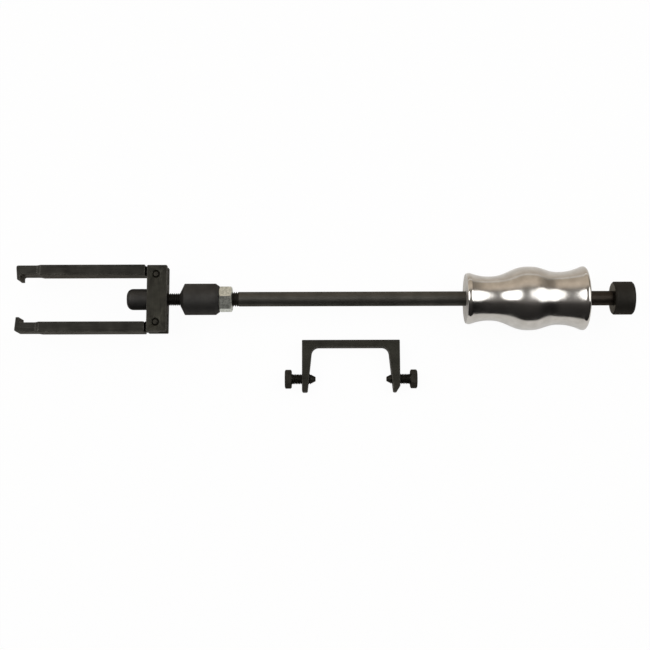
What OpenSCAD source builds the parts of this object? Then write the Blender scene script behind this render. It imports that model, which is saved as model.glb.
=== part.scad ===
// Injector puller: a slide hammer with two hooked legs, and the clamp frame that closes them.
// The legs swing on pins in a yoke. A threaded spindle feeds through the yoke, pushes a swivelling
// thrust cap ahead of it, and carries the coupling, the lock nut and the slide rod behind it.
// Lengths are in millimetres. The tool lies along X with its hooks at minus X, the legs lie side
// by side along Y, and Z is up. The whole stands on Z = 0, centred on X and Y.

/* [Yoke] */
// Length of the yoke across the two legs
yoke_length = 63.5; // [58:0.5:80]
// Width of the yoke along the tool
yoke_width = 19; // [17:0.5:26]
// Depth of the yoke, from its top to its underside
yoke_depth = 20; // [18:0.5:26]
// Chamfer on the four long corners of the yoke
yoke_chamfer = 0.8; // [0.2:0.1:1.6]
// Distance from each end of the yoke in to its leg pin
pin_from_end = 8.75; // [7:0.05:10]
// Distance from the front face of the yoke back to the leg pins
pin_setback = 8.6; // [7:0.1:10]
// Diameter of the leg pins
pin_d = 6; // [4:0.5:7]
// Chamfer on the ends of the leg pins
pin_chamfer = 0.9; // [0.3:0.1:1.2]
// How far the countersink round each pin widens its hole
countersink = 0.9; // [0.2:0.05:1.1]

/* [Legs] */
// Distance from the pin to the grip face of the hook
grip_reach = 128.8; // [90:0.1:180]
// Thickness of the leg, measured across the tool
leg_thickness = 9.8; // [9.2:0.1:12]
// Depth of the leg, from its top to its underside
leg_depth = 20; // [16:0.5:26]
// How far the inner face of the leg stands inside the pin axis
pin_inset = 0.6; // [0.2:0.1:2]
// Gap between the shoulder of the leg and the yoke
shoulder_gap = 2.1; // [1.6:0.1:4]
// Radius of the eye round the pin
eye_r = 8.6; // [7:0.1:9]
// Thickness of the tang that carries the eye
tang_thickness = 8; // [6:0.5:10]
// Length of the slimmer end of the leg
tip_length = 20; // [14:0.5:30]
// Length of the ramp behind the slimmer end
ramp_length = 3; // [1:0.5:6]
// How much the slimmer end is cut back on its outer side, top and underside
tip_relief = 0.5; // [0.3:0.1:1.5]
// How much the slimmer end is cut back on its inner side
inner_relief = 0.6; // [0.2:0.1:1.2]
// How far the nose of the hook reaches inwards
nose_height = 5; // [3:0.1:7]
// Length of the nose at its tip
nose_length = 3.2; // [2:0.1:6]
// How far the end face leans out from the nose to the back of the leg
end_lean = 1.2; // [0.2:0.1:3]
// Fillet between the nose and the leg
nose_fillet = 1.4; // [0.3:0.1:2]

/* [Spindle] */
// Outer diameter of the spindle's thread
spindle_d = 12; // [11:0.5:13]
// Pitch of the spindle's thread
spindle_pitch = 1.75; // [1:0.05:2]
// Length of thread between the yoke and the coupling
thread_shown = 12.2; // [8:0.1:20]
// How deep the spindle screws into the coupling
spindle_depth = 14; // [10:0.5:15]
// Diameter of the plain nose that turns in the thrust cap
journal_d = 8; // [7:0.1:9]

/* [Thrust cap] */
// Diameter of the thrust cap
cap_d = 20.2; // [19:0.1:24]
// Length of the thrust cap
cap_length = 19.5; // [18:0.1:24]
// Radius of the rounded front edge of the cap
cap_round = 5.5; // [3:0.1:6]
// Thickness of the wall at the front of the cap
cap_floor = 4; // [3:0.1:6]
// Diameter of the thrust ball inside the cap
ball_d = 6.4; // [5:0.1:7]
// Diameter of the wire of the ring that keeps the cap on the spindle
ring_wire = 1.2; // [0.8:0.1:1.6]

/* [Coupling] */
// Diameter of the coupling
coupling_d = 30; // [27:0.5:36]
// Length of the coupling
coupling_length = 37.2; // [36.5:0.1:60]
// Length of the steep cone at the front of the coupling
cone_length = 4.2; // [2:0.1:8]
// Radius at the small end of that cone, beyond the thread
cone_land = 0.6; // [0.2:0.1:1]
// Length of the chamfer at the back of the coupling
back_chamfer = 3.6; // [1:0.1:6]
// How much that chamfer takes off the radius
back_drop = 2.6; // [0.5:0.1:3]

/* [Lock nut] */
// Width of the lock nut across its flats
nut_flats = 22; // [19:0.5:25]
// Thickness of the lock nut
nut_height = 12.2; // [8:0.1:16]
// Turn of the lock nut about the tool's axis, in degrees
nut_turn = 54; // [0:1:60]

/* [Slide rod] */
// Diameter of the slide rod and its front thread
rod_d = 14; // [13:0.1:15]
// Free length of the slide rod between the lock nut and the end stop
rod_length = 362.6; // [300:0.1:500]
// Pitch of the thread on the front of the slide rod
rod_pitch = 2; // [1:0.1:2]
// Length of thread that shows behind the lock nut
rod_thread_shown = 5; // [3:0.1:10]
// How deep the slide rod screws into the coupling
rod_depth = 19; // [14:0.5:20]
// Diameter of the thread on the back end of the slide rod
tail_d = 12; // [9:0.5:12.5]
// Pitch of the thread on the back end of the slide rod
tail_pitch = 1.75; // [1:0.05:2]

/* [Hammer weight] */
// Distance from the lock nut to the front of the hammer weight, as it lies
weight_at = 222.4; // [2:0.1:240]
// Length of the hammer weight
weight_length = 114.3; // [100:0.1:120]
// Diameter of the collar at the front of the weight
collar_d = 49; // [46:0.1:56]
// Diameter of the slim waist behind the collar
waist_d = 42.1; // [36:0.1:45]
// Diameter of the belly that fills the palm
belly_d = 60.8; // [54:0.1:64]
// Diameter of the wide waist behind the belly
back_waist_d = 50.4; // [46:0.1:53]
// How much wider the guard at the back of the weight is than the belly
guard_over = 0.2; // [0:0.1:4]
// Length of the rounded lip of the collar
collar_lip = 3.6; // [1:0.1:6]
// Length of the flat rim round the guard
guard_rim = 1.4; // [1:0.1:5]
// Radius of the rounded edges of the collar and the guard
weight_round = 1.6; // [0.5:0.1:4]

/* [End stop] */
// Diameter of the end stop
stop_d = 31.6; // [24:0.1:50]
// Length of the end stop
stop_length = 19.2; // [12:0.1:30]
// Chamfer on both ends of the end stop
stop_chamfer = 1.2; // [0.3:0.1:2]

/* [Clamp frame] */
// Distance from the leg pins along the tool to the middle of the clamp frame
frame_along = 185.2; // [60:0.1:360]
// Distance from the tool's axis to the back of the clamp frame
frame_aside = 37.1; // [35:0.1:80]
// Outer width of the clamp frame
frame_width = 94.4; // [90:0.1:120]
// Reach of the clamp frame, from its back to the ends of its arms
frame_reach = 50.1; // [46:0.1:70]
// Depth of the clamp frame, from its top to its underside
frame_depth = 13; // [11:0.5:16]
// Thickness of the back of the clamp frame
back_thickness = 6.8; // [5:0.1:10]
// Width of the left arm where it leaves the back
arm_root = 9.9; // [8:0.1:12]
// Width of the left arm at its end
arm_end = 5.4; // [4:0.1:7]
// How much wider the right arm is than the left one, from its root to its end
right_arm_over = 1.1; // [0:0.1:2]
// Fillet inside each corner of the clamp frame
frame_fillet = 7; // [3:0.1:10]
// Chamfer on the outer back corners of the clamp frame
frame_chamfer = 1.2; // [0.3:0.1:3]
// Chamfer on the inner corner of each arm's end
arm_inner_cut = 1.6; // [0.5:0.1:2.5]
// Chamfer on the outer corner of the left arm's end
arm_outer_cut = 1.6; // [0.5:0.1:2.5]
// Width of the slanting cut on the outer corner of the right arm's end
right_cut_width = 3.4; // [0.5:0.1:3.8]
// Length of that cut along the right arm
right_cut_length = 5.4; // [0.5:0.1:6.5]
// Distance from the end of each arm to the screw's axis
screw_from_end = 12.7; // [9:0.1:20]

/* [Clamp screws] */
// Outer diameter of the clamp screws' thread
screw_d = 10; // [8:0.5:10.5]
// Pitch of the clamp screws' thread
screw_pitch = 1.5; // [1:0.05:1.5]
// Length of each screw under its head
screw_length = 23; // [20:0.1:40]
// Length of thread that shows between the head and the arm
screw_shown = 9.9; // [6:0.1:12]
// Width of the screw heads across their flats
head_flats = 16; // [14:0.5:18]
// Height of the screw heads
head_height = 6.6; // [5:0.1:9]
// Length of the pointed end of each screw
point_length = 4; // [2:0.1:5]
// Diameter of the flat on the pointed end
point_d = 4; // [1:0.1:6]

/* [Fits] */
// Clearance on the radius where one piece turns in another
turn_clear = 0.05; // [0.02:0.01:0.1]
// Clearance on the radius where a thread or a pin is tight in its hole
tight_clear = 0.02; // [0.01:0.01:0.05]
// Clearance on the radius between the hammer weight and the slide rod
slide_clear = 0.15; // [0.1:0.01:0.4]
// Clearance between flat faces that pass each other
face_clear = 0.1; // [0.05:0.01:0.2]

/* [Hidden] */
$fn = 96;
// Overrun of every cut past the face it opens
over = 1;
// Clearance between the eye of a leg and the floor of its slot
slot_floor_clear = 0.4;
// Clearance round the wire ring in its two grooves
ring_clear = 0.1;
// Depth of each hole in the coupling past the end of what is screwed into it
hole_spare = 1;
// Distance from the open back of the cap to its ring, in wires of that ring
ring_from_back_share = 3;
// Places of the waist, the belly and the back waist as shares of the weight's length
waist_share = 0.188;
belly_share = 0.527;
back_waist_share = 0.777;
// Depth of a thread as a share of its pitch
thread_depth_share = 0.54;
// Length of one flank of a thread as a share of its pitch
flank_share = 0.44;
// Steps in each drawn curve of the hammer weight, and in each rounded edge
curve_steps = 10;
round_steps = 5;

// Black oxide on steel, ground steel and zinc plate
black_steel = [0.2, 0.2, 0.19];
bright_steel = [0.78, 0.77, 0.75];
zinc_plate = [0.74, 0.74, 0.68];

// Distance of each leg pin from the tool's axis
pin_aside = yoke_length / 2 - pin_from_end;

// Places along the tool, measured from the leg pins
yoke_front = -pin_setback;
yoke_back = yoke_front + yoke_width;
coupling_front = yoke_back + thread_shown;
coupling_back = coupling_front + coupling_length;
nut_back = coupling_back + nut_height;
rod_back = nut_back + rod_length;
stop_back = rod_back + stop_length;
weight_front = nut_back + weight_at;
cap_back = yoke_front - face_clear;
cap_front = cap_back - cap_length;
leg_reach = grip_reach + nose_length + end_lean;

// Shape of the legs, measured from the pin
leg_inner = -pin_inset;
leg_outer = leg_thickness - pin_inset;
shoulder = pin_setback + shoulder_gap;
slot_depth = pin_from_end + eye_r + slot_floor_clear;
slot_width = tang_thickness + 2 * face_clear;

// Heights of the parts above the surface that they lie on, the tool on the guard of its weight
guard_d = belly_d + guard_over;
axis_height = guard_d / 2;
screw_height = head_flats / 2;

// Centre of the whole, which the origin stands under
leg_side = pin_aside + leg_outer;
tool_side = max(leg_side, axis_height, yoke_length / 2);
middle_x = (stop_back - leg_reach) / 2;
middle_y = (tool_side - frame_aside - frame_reach) / 2;

// Radii at the crests of the threads and in the plain holes that hold them
spindle_r = spindle_d / 2;
rod_r = rod_d / 2;
tail_r = tail_d / 2;
screw_r = screw_d / 2;
journal_r = journal_d / 2;

// Ring of the thrust cap, measured from the cap's closed front
ring_at = cap_length - ring_from_back_share * ring_wire;
ring_r = journal_r;

// Puts a shape drawn up the Z axis along the tool, starting at x
module along_tool(x) {
    translate([x, 0, 0])
        rotate([0, 90, 0])
            children();
}

// Moves the tool so that the whole is centred, with its axis at its height
module tool() {
    translate([-middle_x, -middle_y, axis_height])
        children();
}

// Moves the clamp frame beside the tool: X across its arms, Y back from their ends
module beside() {
    translate([frame_along - middle_x, -frame_aside - middle_y, screw_height])
        children();
}

// Ridges of a thread, as radius and height pairs from height z0, centred in their length
function thread(r, pitch, z0, length) =
    let (
        turns = max(1, floor(length / pitch)),
        start = z0 + (length - turns * pitch) / 2,
        root = r - thread_depth_share * pitch
    )
    [
        for (i = [0 : turns - 1])
            let (z = start + i * pitch)
            each [
                [root, z],
                [r, z + flank_share * pitch],
                [r, z + (1 - flank_share) * pitch]
            ],
        [root, start + turns * pitch]
    ];

// Quarter of a circle of radius r round a centre, from angle a to angle b
function arc(centre, r, a, b) = [
    for (i = [0 : round_steps])
        let (t = a + (b - a) * i / round_steps)
        centre + r * [cos(t), sin(t)]
];

// Smooth step from 0 to 1, flat at both ends
function ease(t) = t * t * t * (6 * t * t - 15 * t + 10);

// Curve from radius r0 at z0 to radius r1 at z1, flat at both ends
function swell(z0, r0, z1, r1) = [
    for (i = [1 : curve_steps])
        let (t = i / curve_steps)
        [r0 + (r1 - r0) * ease(t), z0 + (z1 - z0) * t]
];

// Hollow curve from radius r0 at z0, flat there, to radius r1 at z1
function hollow(z0, r0, z1, r1) = [
    for (i = [0 : curve_steps])
        let (t = i / curve_steps)
        [r0 + (r1 - r0) * t * t, z0 + (z1 - z0) * t]
];

// Points of a curve in the opposite order
function reverse(points) = [for (i = [len(points) - 1 : -1 : 0]) points[i]];

// Hexagon with its corners chamfered at one or both ends, standing on Z = 0
module hexagon_head(flats, height, both_ends) {
    corner_r = flats / 2 / cos(30);
    cut = (corner_r - flats / 2) * tan(30);
    intersection() {
        cylinder(r = corner_r, h = height, $fn = 6);
        rotate_extrude()
            polygon([
                [0, 0],
                [both_ends ? flats / 2 : corner_r + over, 0],
                [corner_r + over, both_ends ? cut + over * tan(30) : 0],
                [corner_r + over, height - cut - over * tan(30)],
                [flats / 2, height],
                [0, height]
            ]);
    }
}

// Flat outline of the leg from its hook to its shoulder, with the pin at the origin
module leg_outline() {
    tip_inner = leg_inner + inner_relief;
    tip_outer = leg_outer - tip_relief;
    ramp_front = leg_reach - tip_length;
    ramp_back = ramp_front - ramp_length;
    polygon(concat(
        [
            [-shoulder, leg_inner],
            [-ramp_back, leg_inner],
            [-ramp_front, tip_inner]
        ],
        arc([nose_fillet - grip_reach, tip_inner - nose_fillet], nose_fillet, 90, 180),
        [
            [-grip_reach, tip_inner - nose_height],
            [-grip_reach - nose_length, tip_inner - nose_height],
            [-leg_reach, tip_outer],
            [-ramp_front, tip_outer],
            [-ramp_back, leg_outer],
            [-shoulder, leg_outer]
        ]
    ));
}

// Side outline of the leg, which slims its end, as depth against length
module leg_side_outline() {
    ramp_front = leg_reach - tip_length;
    ramp_back = ramp_front - ramp_length;
    half = leg_depth / 2;
    slim = half - tip_relief;
    polygon([
        [-leg_reach - over, -slim],
        [-ramp_front, -slim],
        [-ramp_back, -half],
        [-shoulder + over, -half],
        [-shoulder + over, half],
        [-ramp_back, half],
        [-ramp_front, slim],
        [-leg_reach - over, slim]
    ]);
}

// One leg with its pin at the origin, its hook at minus X and its back at plus Y
module leg() {
    difference() {
        union() {
            intersection() {
                linear_extrude(height = leg_depth, center = true)
                    leg_outline();
                rotate([90, 0, 0])
                    linear_extrude(height = 2 * (leg_outer + nose_height + pin_inset), center = true)
                        leg_side_outline();
            }
            linear_extrude(height = tang_thickness, center = true) {
                circle(r = eye_r);
                polygon([
                    [-shoulder - over, leg_inner],
                    [-shoulder - over, min(eye_r, leg_outer)],
                    [0, eye_r],
                    [0, -eye_r],
                    [-shoulder, leg_inner]
                ]);
            }
        }
        cylinder(r = pin_d / 2 + turn_clear, h = tang_thickness + 2 * over, center = true);
    }
}

// Places a piece drawn round the pin at the upper leg (side 1) or the lower leg (side -1)
module at_leg(side) {
    tool()
        translate([0, side * pin_aside, 0])
            rotate([side > 0 ? 0 : 180, 0, 0])
                children();
}

// Pin of one leg, chamfered at both ends
module leg_pin() {
    r = pin_d / 2;
    half = yoke_depth / 2;
    rotate_extrude()
        polygon([
            [0, -half],
            [r - pin_chamfer, -half],
            [r, -half + pin_chamfer],
            [r, half - pin_chamfer],
            [r - pin_chamfer, half],
            [0, half]
        ]);
}

// Hole of one leg pin through the yoke, countersunk at both ends
module pin_hole() {
    r = pin_d / 2 + tight_clear;
    half = yoke_depth / 2;
    rotate_extrude()
        polygon([
            [0, -half - over],
            [r + countersink + over, -half - over],
            [r, -half + countersink],
            [r, half - countersink],
            [r + countersink + over, half + over],
            [0, half + over]
        ]);
}

// Yoke: a block with a slot for a leg in each end and the spindle's hole through its middle
module yoke() {
    color(black_steel)
        tool()
            difference() {
                translate([yoke_front, -yoke_length / 2, -yoke_depth / 2])
                    linear_extrude(height = yoke_depth)
                        polygon([
                            [yoke_chamfer, 0],
                            [yoke_width - yoke_chamfer, 0],
                            [yoke_width, yoke_chamfer],
                            [yoke_width, yoke_length - yoke_chamfer],
                            [yoke_width - yoke_chamfer, yoke_length],
                            [yoke_chamfer, yoke_length],
                            [0, yoke_length - yoke_chamfer],
                            [0, yoke_chamfer]
                        ]);
                along_tool(yoke_front - over)
                    cylinder(r = spindle_r + turn_clear, h = yoke_width + 2 * over);
                for (side = [-1, 1]) {
                    translate([yoke_front + yoke_width / 2, side * (yoke_length / 2 - slot_depth / 2 + over / 2), 0])
                        cube([yoke_width + 2 * over, slot_depth + over, slot_width], center = true);
                    translate([0, side * pin_aside, 0])
                        pin_hole();
                }
            }
}

module upper_leg_pin() {
    color(black_steel) at_leg(1) leg_pin();
}

module lower_leg_pin() {
    color(black_steel) at_leg(-1) leg_pin();
}

module upper_leg() {
    color(black_steel) at_leg(1) leg();
}

module lower_leg() {
    color(black_steel) at_leg(-1) leg();
}

// Thrust cap: a rounded cap with a blind bore and a groove for its ring
module thrust_cap() {
    r = cap_d / 2;
    bore_r = journal_r + turn_clear;
    groove_r = ring_r + ring_wire / 2 + ring_clear;
    groove_half = ring_wire / 2 + ring_clear;
    color(black_steel)
        tool()
            along_tool(cap_front)
                rotate_extrude()
                    polygon(concat(
                        [[0, 0]],
                        arc([r - cap_round, cap_round], cap_round, -90, 0),
                        [
                            [r, cap_length],
                            [bore_r, cap_length],
                            [bore_r, ring_at + groove_half],
                            [groove_r, ring_at + groove_half],
                            [groove_r, ring_at - groove_half],
                            [bore_r, ring_at - groove_half],
                            [bore_r, cap_floor],
                            [0, cap_floor]
                        ]
                    ));
}

// Wire ring that keeps the cap on the spindle
module cap_ring() {
    color(bright_steel)
        tool()
            along_tool(cap_front + ring_at)
                rotate_extrude()
                    translate([ring_r, 0])
                        circle(d = ring_wire, $fn = 24);
}

// Ball between the cap and the nose of the spindle
module thrust_ball() {
    color(bright_steel)
        tool()
            translate([cap_front + cap_floor + face_clear + ball_d / 2, 0, 0])
                sphere(d = ball_d);
}

// Spindle: a plain nose with a ring groove, then one thread from the cap into the coupling
module spindle() {
    nose = cap_front + cap_floor + ball_d + 2 * face_clear;
    ring_z = cap_front + ring_at - nose;
    groove_r = ring_r - ring_wire / 2 - ring_clear;
    groove_half = ring_wire / 2 + ring_clear;
    root = spindle_r - thread_depth_share * spindle_pitch;
    thread_start = cap_back + face_clear - nose;
    total = coupling_front + spindle_depth - nose;
    color(black_steel)
        tool()
            along_tool(nose)
                rotate_extrude()
                    polygon(concat(
                        [
                            [0, 0],
                            [journal_r - face_clear, 0],
                            [journal_r, face_clear],
                            [journal_r, ring_z - groove_half],
                            [groove_r, ring_z - groove_half],
                            [groove_r, ring_z + groove_half],
                            [journal_r, ring_z + groove_half],
                            [journal_r, thread_start],
                            [root, thread_start]
                        ],
                        thread(spindle_r, spindle_pitch, thread_start + face_clear,
                            total - thread_start - 2 * face_clear),
                        [[root, total], [0, total]]
                    ));
}

// Coupling: a round body with a steep cone in front and a threaded hole in each end
module coupling() {
    r = coupling_d / 2;
    cone_r = spindle_r + cone_land;
    front_hole = spindle_depth + hole_spare;
    back_hole = rod_depth + hole_spare;
    color(black_steel)
        tool()
            along_tool(coupling_front)
                difference() {
                    rotate_extrude()
                        polygon([
                            [0, 0],
                            [cone_r, 0],
                            [r, cone_length],
                            [r, coupling_length - back_chamfer],
                            [r - back_drop, coupling_length],
                            [0, coupling_length]
                        ]);
                    translate([0, 0, -over])
                        cylinder(r = spindle_r + tight_clear, h = front_hole + over);
                    translate([0, 0, coupling_length - back_hole])
                        cylinder(r = rod_r + tight_clear, h = back_hole + over);
                }
}

// Lock nut: a chamfered hexagon nut on the slide rod's front thread
module lock_nut() {
    color(zinc_plate)
        tool()
            along_tool(coupling_back)
                difference() {
                    rotate([0, 0, nut_turn])
                        hexagon_head(nut_flats, nut_height, true);
                    translate([0, 0, -over])
                        cylinder(r = rod_r + tight_clear, h = nut_height + 2 * over);
                }
}

// Slide rod: threaded into the coupling in front and into the end stop behind
module slide_rod() {
    root = rod_r - thread_depth_share * rod_pitch;
    tail_root = tail_r - thread_depth_share * tail_pitch;
    start = coupling_back - rod_depth;
    threaded = rod_depth + nut_height + rod_thread_shown;
    shoulder_z = rod_back - start;
    total = stop_back - start;
    color(black_steel)
        tool()
            along_tool(start)
                rotate_extrude()
                    polygon(concat(
                        [[0, 0], [root, 0]],
                        thread(rod_r, rod_pitch, face_clear, threaded - face_clear),
                        [
                            [rod_r, threaded + (rod_r - root)],
                            [rod_r, shoulder_z - face_clear],
                            [tail_root, shoulder_z - face_clear]
                        ],
                        thread(tail_r, tail_pitch, shoulder_z, stop_length - face_clear),
                        [[tail_root, total], [0, total]]
                    ));
}

// Hammer weight: collar, slim waist, belly, wide waist and guard in one turned grip
module hammer_weight() {
    collar_r = collar_d / 2;
    waist_r = waist_d / 2;
    belly_r = belly_d / 2;
    back_waist_r = back_waist_d / 2;
    guard_r = guard_d / 2;
    waist_z = waist_share * weight_length;
    belly_z = belly_share * weight_length;
    back_waist_z = back_waist_share * weight_length;
    rim_end = weight_length - weight_round;
    rim_start = rim_end - guard_rim;
    color(bright_steel)
        tool()
            along_tool(weight_front)
                difference() {
                    rotate_extrude()
                        polygon(concat(
                            [[0, 0]],
                            arc([collar_r - weight_round, weight_round], weight_round, -90, 0),
                            reverse(hollow(waist_z, waist_r, max(collar_lip, weight_round) + face_clear, collar_r)),
                            swell(waist_z, waist_r, belly_z, belly_r),
                            swell(belly_z, belly_r, back_waist_z, back_waist_r),
                            hollow(back_waist_z, back_waist_r, rim_start, guard_r),
                            arc([guard_r - weight_round, rim_end], weight_round, 0, 90),
                            [[0, weight_length]]
                        ));
                    translate([0, 0, -over])
                        cylinder(r = rod_r + slide_clear, h = weight_length + 2 * over);
                }
}

// End stop: a round stop screwed on the back end of the slide rod
module end_stop() {
    r = stop_d / 2;
    color(black_steel)
        tool()
            along_tool(rod_back)
                difference() {
                    rotate_extrude()
                        polygon([
                            [0, 0],
                            [r - stop_chamfer, 0],
                            [r, stop_chamfer],
                            [r, stop_length - stop_chamfer],
                            [r - stop_chamfer, stop_length],
                            [0, stop_length]
                        ]);
                    translate([0, 0, -over])
                        cylinder(r = tail_r + tight_clear, h = stop_length + 2 * over);
                }
}

// Clamp frame: a back with two tapered arms, and a threaded hole through the end of each
module clamp_frame() {
    half = frame_width / 2;
    wide_root = arm_root + right_arm_over;
    color(black_steel)
        beside()
            difference() {
                linear_extrude(height = frame_depth, center = true)
                    polygon(concat(half_frame(1), reverse(half_frame(-1))));
                for (side = [-1, 1])
                    translate([side * (half - wide_root / 2), screw_from_end - frame_reach, 0])
                        rotate([0, 90, 0])
                            cylinder(r = screw_r + turn_clear, h = wide_root + 2 * over, center = true);
            }
}

// Outline of the frame's right half (side 1) or left half (side -1), from the back to the bar
function half_frame(side) =
    let (
        half = frame_width / 2,
        wider = side > 0 ? right_arm_over : 0,
        cut_width = side > 0 ? right_cut_width : arm_outer_cut,
        cut_length = side > 0 ? right_cut_length : arm_outer_cut,
        inner = half - arm_root - wider,
        end = half - arm_end - wider,
        corner = arc([inner - frame_fillet, -back_thickness - frame_fillet], frame_fillet, 0, 90),
        points = concat(
            [
                [half - frame_chamfer, 0],
                [half, -frame_chamfer],
                [half, cut_length - frame_reach],
                [half - cut_width, -frame_reach],
                [end + arm_inner_cut, -frame_reach],
                [end, arm_inner_cut - frame_reach]
            ],
            corner
        )
    )
    [for (p = points) [side * p[0], p[1]]];

// Clamp screw: a hexagon head and a thread with a pointed end, drawn along Z from its head
module clamp_screw() {
    root = screw_r - thread_depth_share * screw_pitch;
    rotate([0, 0, 30])
        translate([0, 0, head_height])
            mirror([0, 0, 1])
                hexagon_head(head_flats, head_height, false);
    rotate_extrude()
        polygon(concat(
            [[0, head_height / 2], [root, head_height / 2]],
            thread(screw_r, screw_pitch, head_height + face_clear, screw_length - point_length - face_clear),
            [
                [point_d / 2, head_height + screw_length],
                [0, head_height + screw_length]
            ]
        ));
}

// Places a clamp screw in the left arm (side -1) or the right arm (side 1)
module at_arm(side) {
    head_end = frame_width / 2 + screw_shown + head_height;
    beside()
        translate([side * head_end, screw_from_end - frame_reach, 0])
            rotate([0, -side * 90, 0])
                children();
}

module left_clamp_screw() {
    color(black_steel) at_arm(-1) clamp_screw();
}

module right_clamp_screw() {
    color(black_steel) at_arm(1) clamp_screw();
}

yoke();
upper_leg_pin();
lower_leg_pin();
upper_leg();
lower_leg();
thrust_cap();
cap_ring();
thrust_ball();
spindle();
coupling();
lock_nut();
slide_rod();
hammer_weight();
end_stop();
clamp_frame();
left_clamp_screw();
right_clamp_screw();
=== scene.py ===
"""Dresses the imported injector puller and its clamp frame, and lights them on a pale table.

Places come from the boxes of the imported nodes. Sizes that only the surface shows, such as the pitch of a
thread or the rounding of an edge, are fields of the class that makes it, in millimetres.
"""

from __future__ import annotations

import logging
import math
from dataclasses import dataclass
from enum import Enum
from typing import Protocol

import bmesh
import bpy
import numpy as np
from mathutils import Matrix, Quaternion, Vector


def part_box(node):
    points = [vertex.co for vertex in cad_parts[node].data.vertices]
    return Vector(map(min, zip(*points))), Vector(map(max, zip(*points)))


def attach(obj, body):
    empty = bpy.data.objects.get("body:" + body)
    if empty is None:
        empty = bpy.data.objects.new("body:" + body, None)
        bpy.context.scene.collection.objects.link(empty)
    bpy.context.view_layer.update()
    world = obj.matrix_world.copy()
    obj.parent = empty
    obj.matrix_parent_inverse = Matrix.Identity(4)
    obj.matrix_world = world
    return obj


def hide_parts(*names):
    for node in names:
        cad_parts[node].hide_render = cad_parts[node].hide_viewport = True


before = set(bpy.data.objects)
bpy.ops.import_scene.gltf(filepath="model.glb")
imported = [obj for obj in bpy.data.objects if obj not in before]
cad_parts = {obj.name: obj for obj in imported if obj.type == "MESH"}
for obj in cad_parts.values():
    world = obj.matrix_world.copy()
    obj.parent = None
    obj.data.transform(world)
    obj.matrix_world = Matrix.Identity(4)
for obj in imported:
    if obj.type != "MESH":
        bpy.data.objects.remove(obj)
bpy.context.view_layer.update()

Array = np.ndarray
MM = 0.001
TURN = 2 * math.pi
# Points of a mesh closer than this, in metres, are one point
MERGE_M = 2e-6
# Points of a line closer than this, in millimetres, are one point
HAIR = 1e-6
# The least length that is divided by, so that a side without a length gives no arc
LEAST = 1e-9
# Angles that agree to this many digits are taken as equal
ANGLE_DIGITS = 9
# Edges sharper than this are rounded on milled pieces, with this many straight pieces across
ROUNDED_FROM = math.radians(50)
EDGE_STEPS = 3

log = logging.getLogger("scene")


class Slot(Enum):
    """Material slots of the record."""

    BLACK = "black_oxide_steel"
    BRIGHT = "bright_steel"
    ZINC = "zinc_plated_steel"
    POLISHED = "polished_steel"


class ThreadEnd(Enum):
    """How a thread stops: cut down to its root by a cone, or fading out into the full bar."""

    CHAMFER = "chamfer"
    RUN_OUT = "run_out"


class Grain(Enum):
    """Which way the tool marks run: straight along an axis, in rings round X, or nowhere."""

    ALONG_X = "along_x"
    ALONG_Y = "along_y"
    RINGS = "rings"
    NONE = "none"


# Meshes


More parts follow.
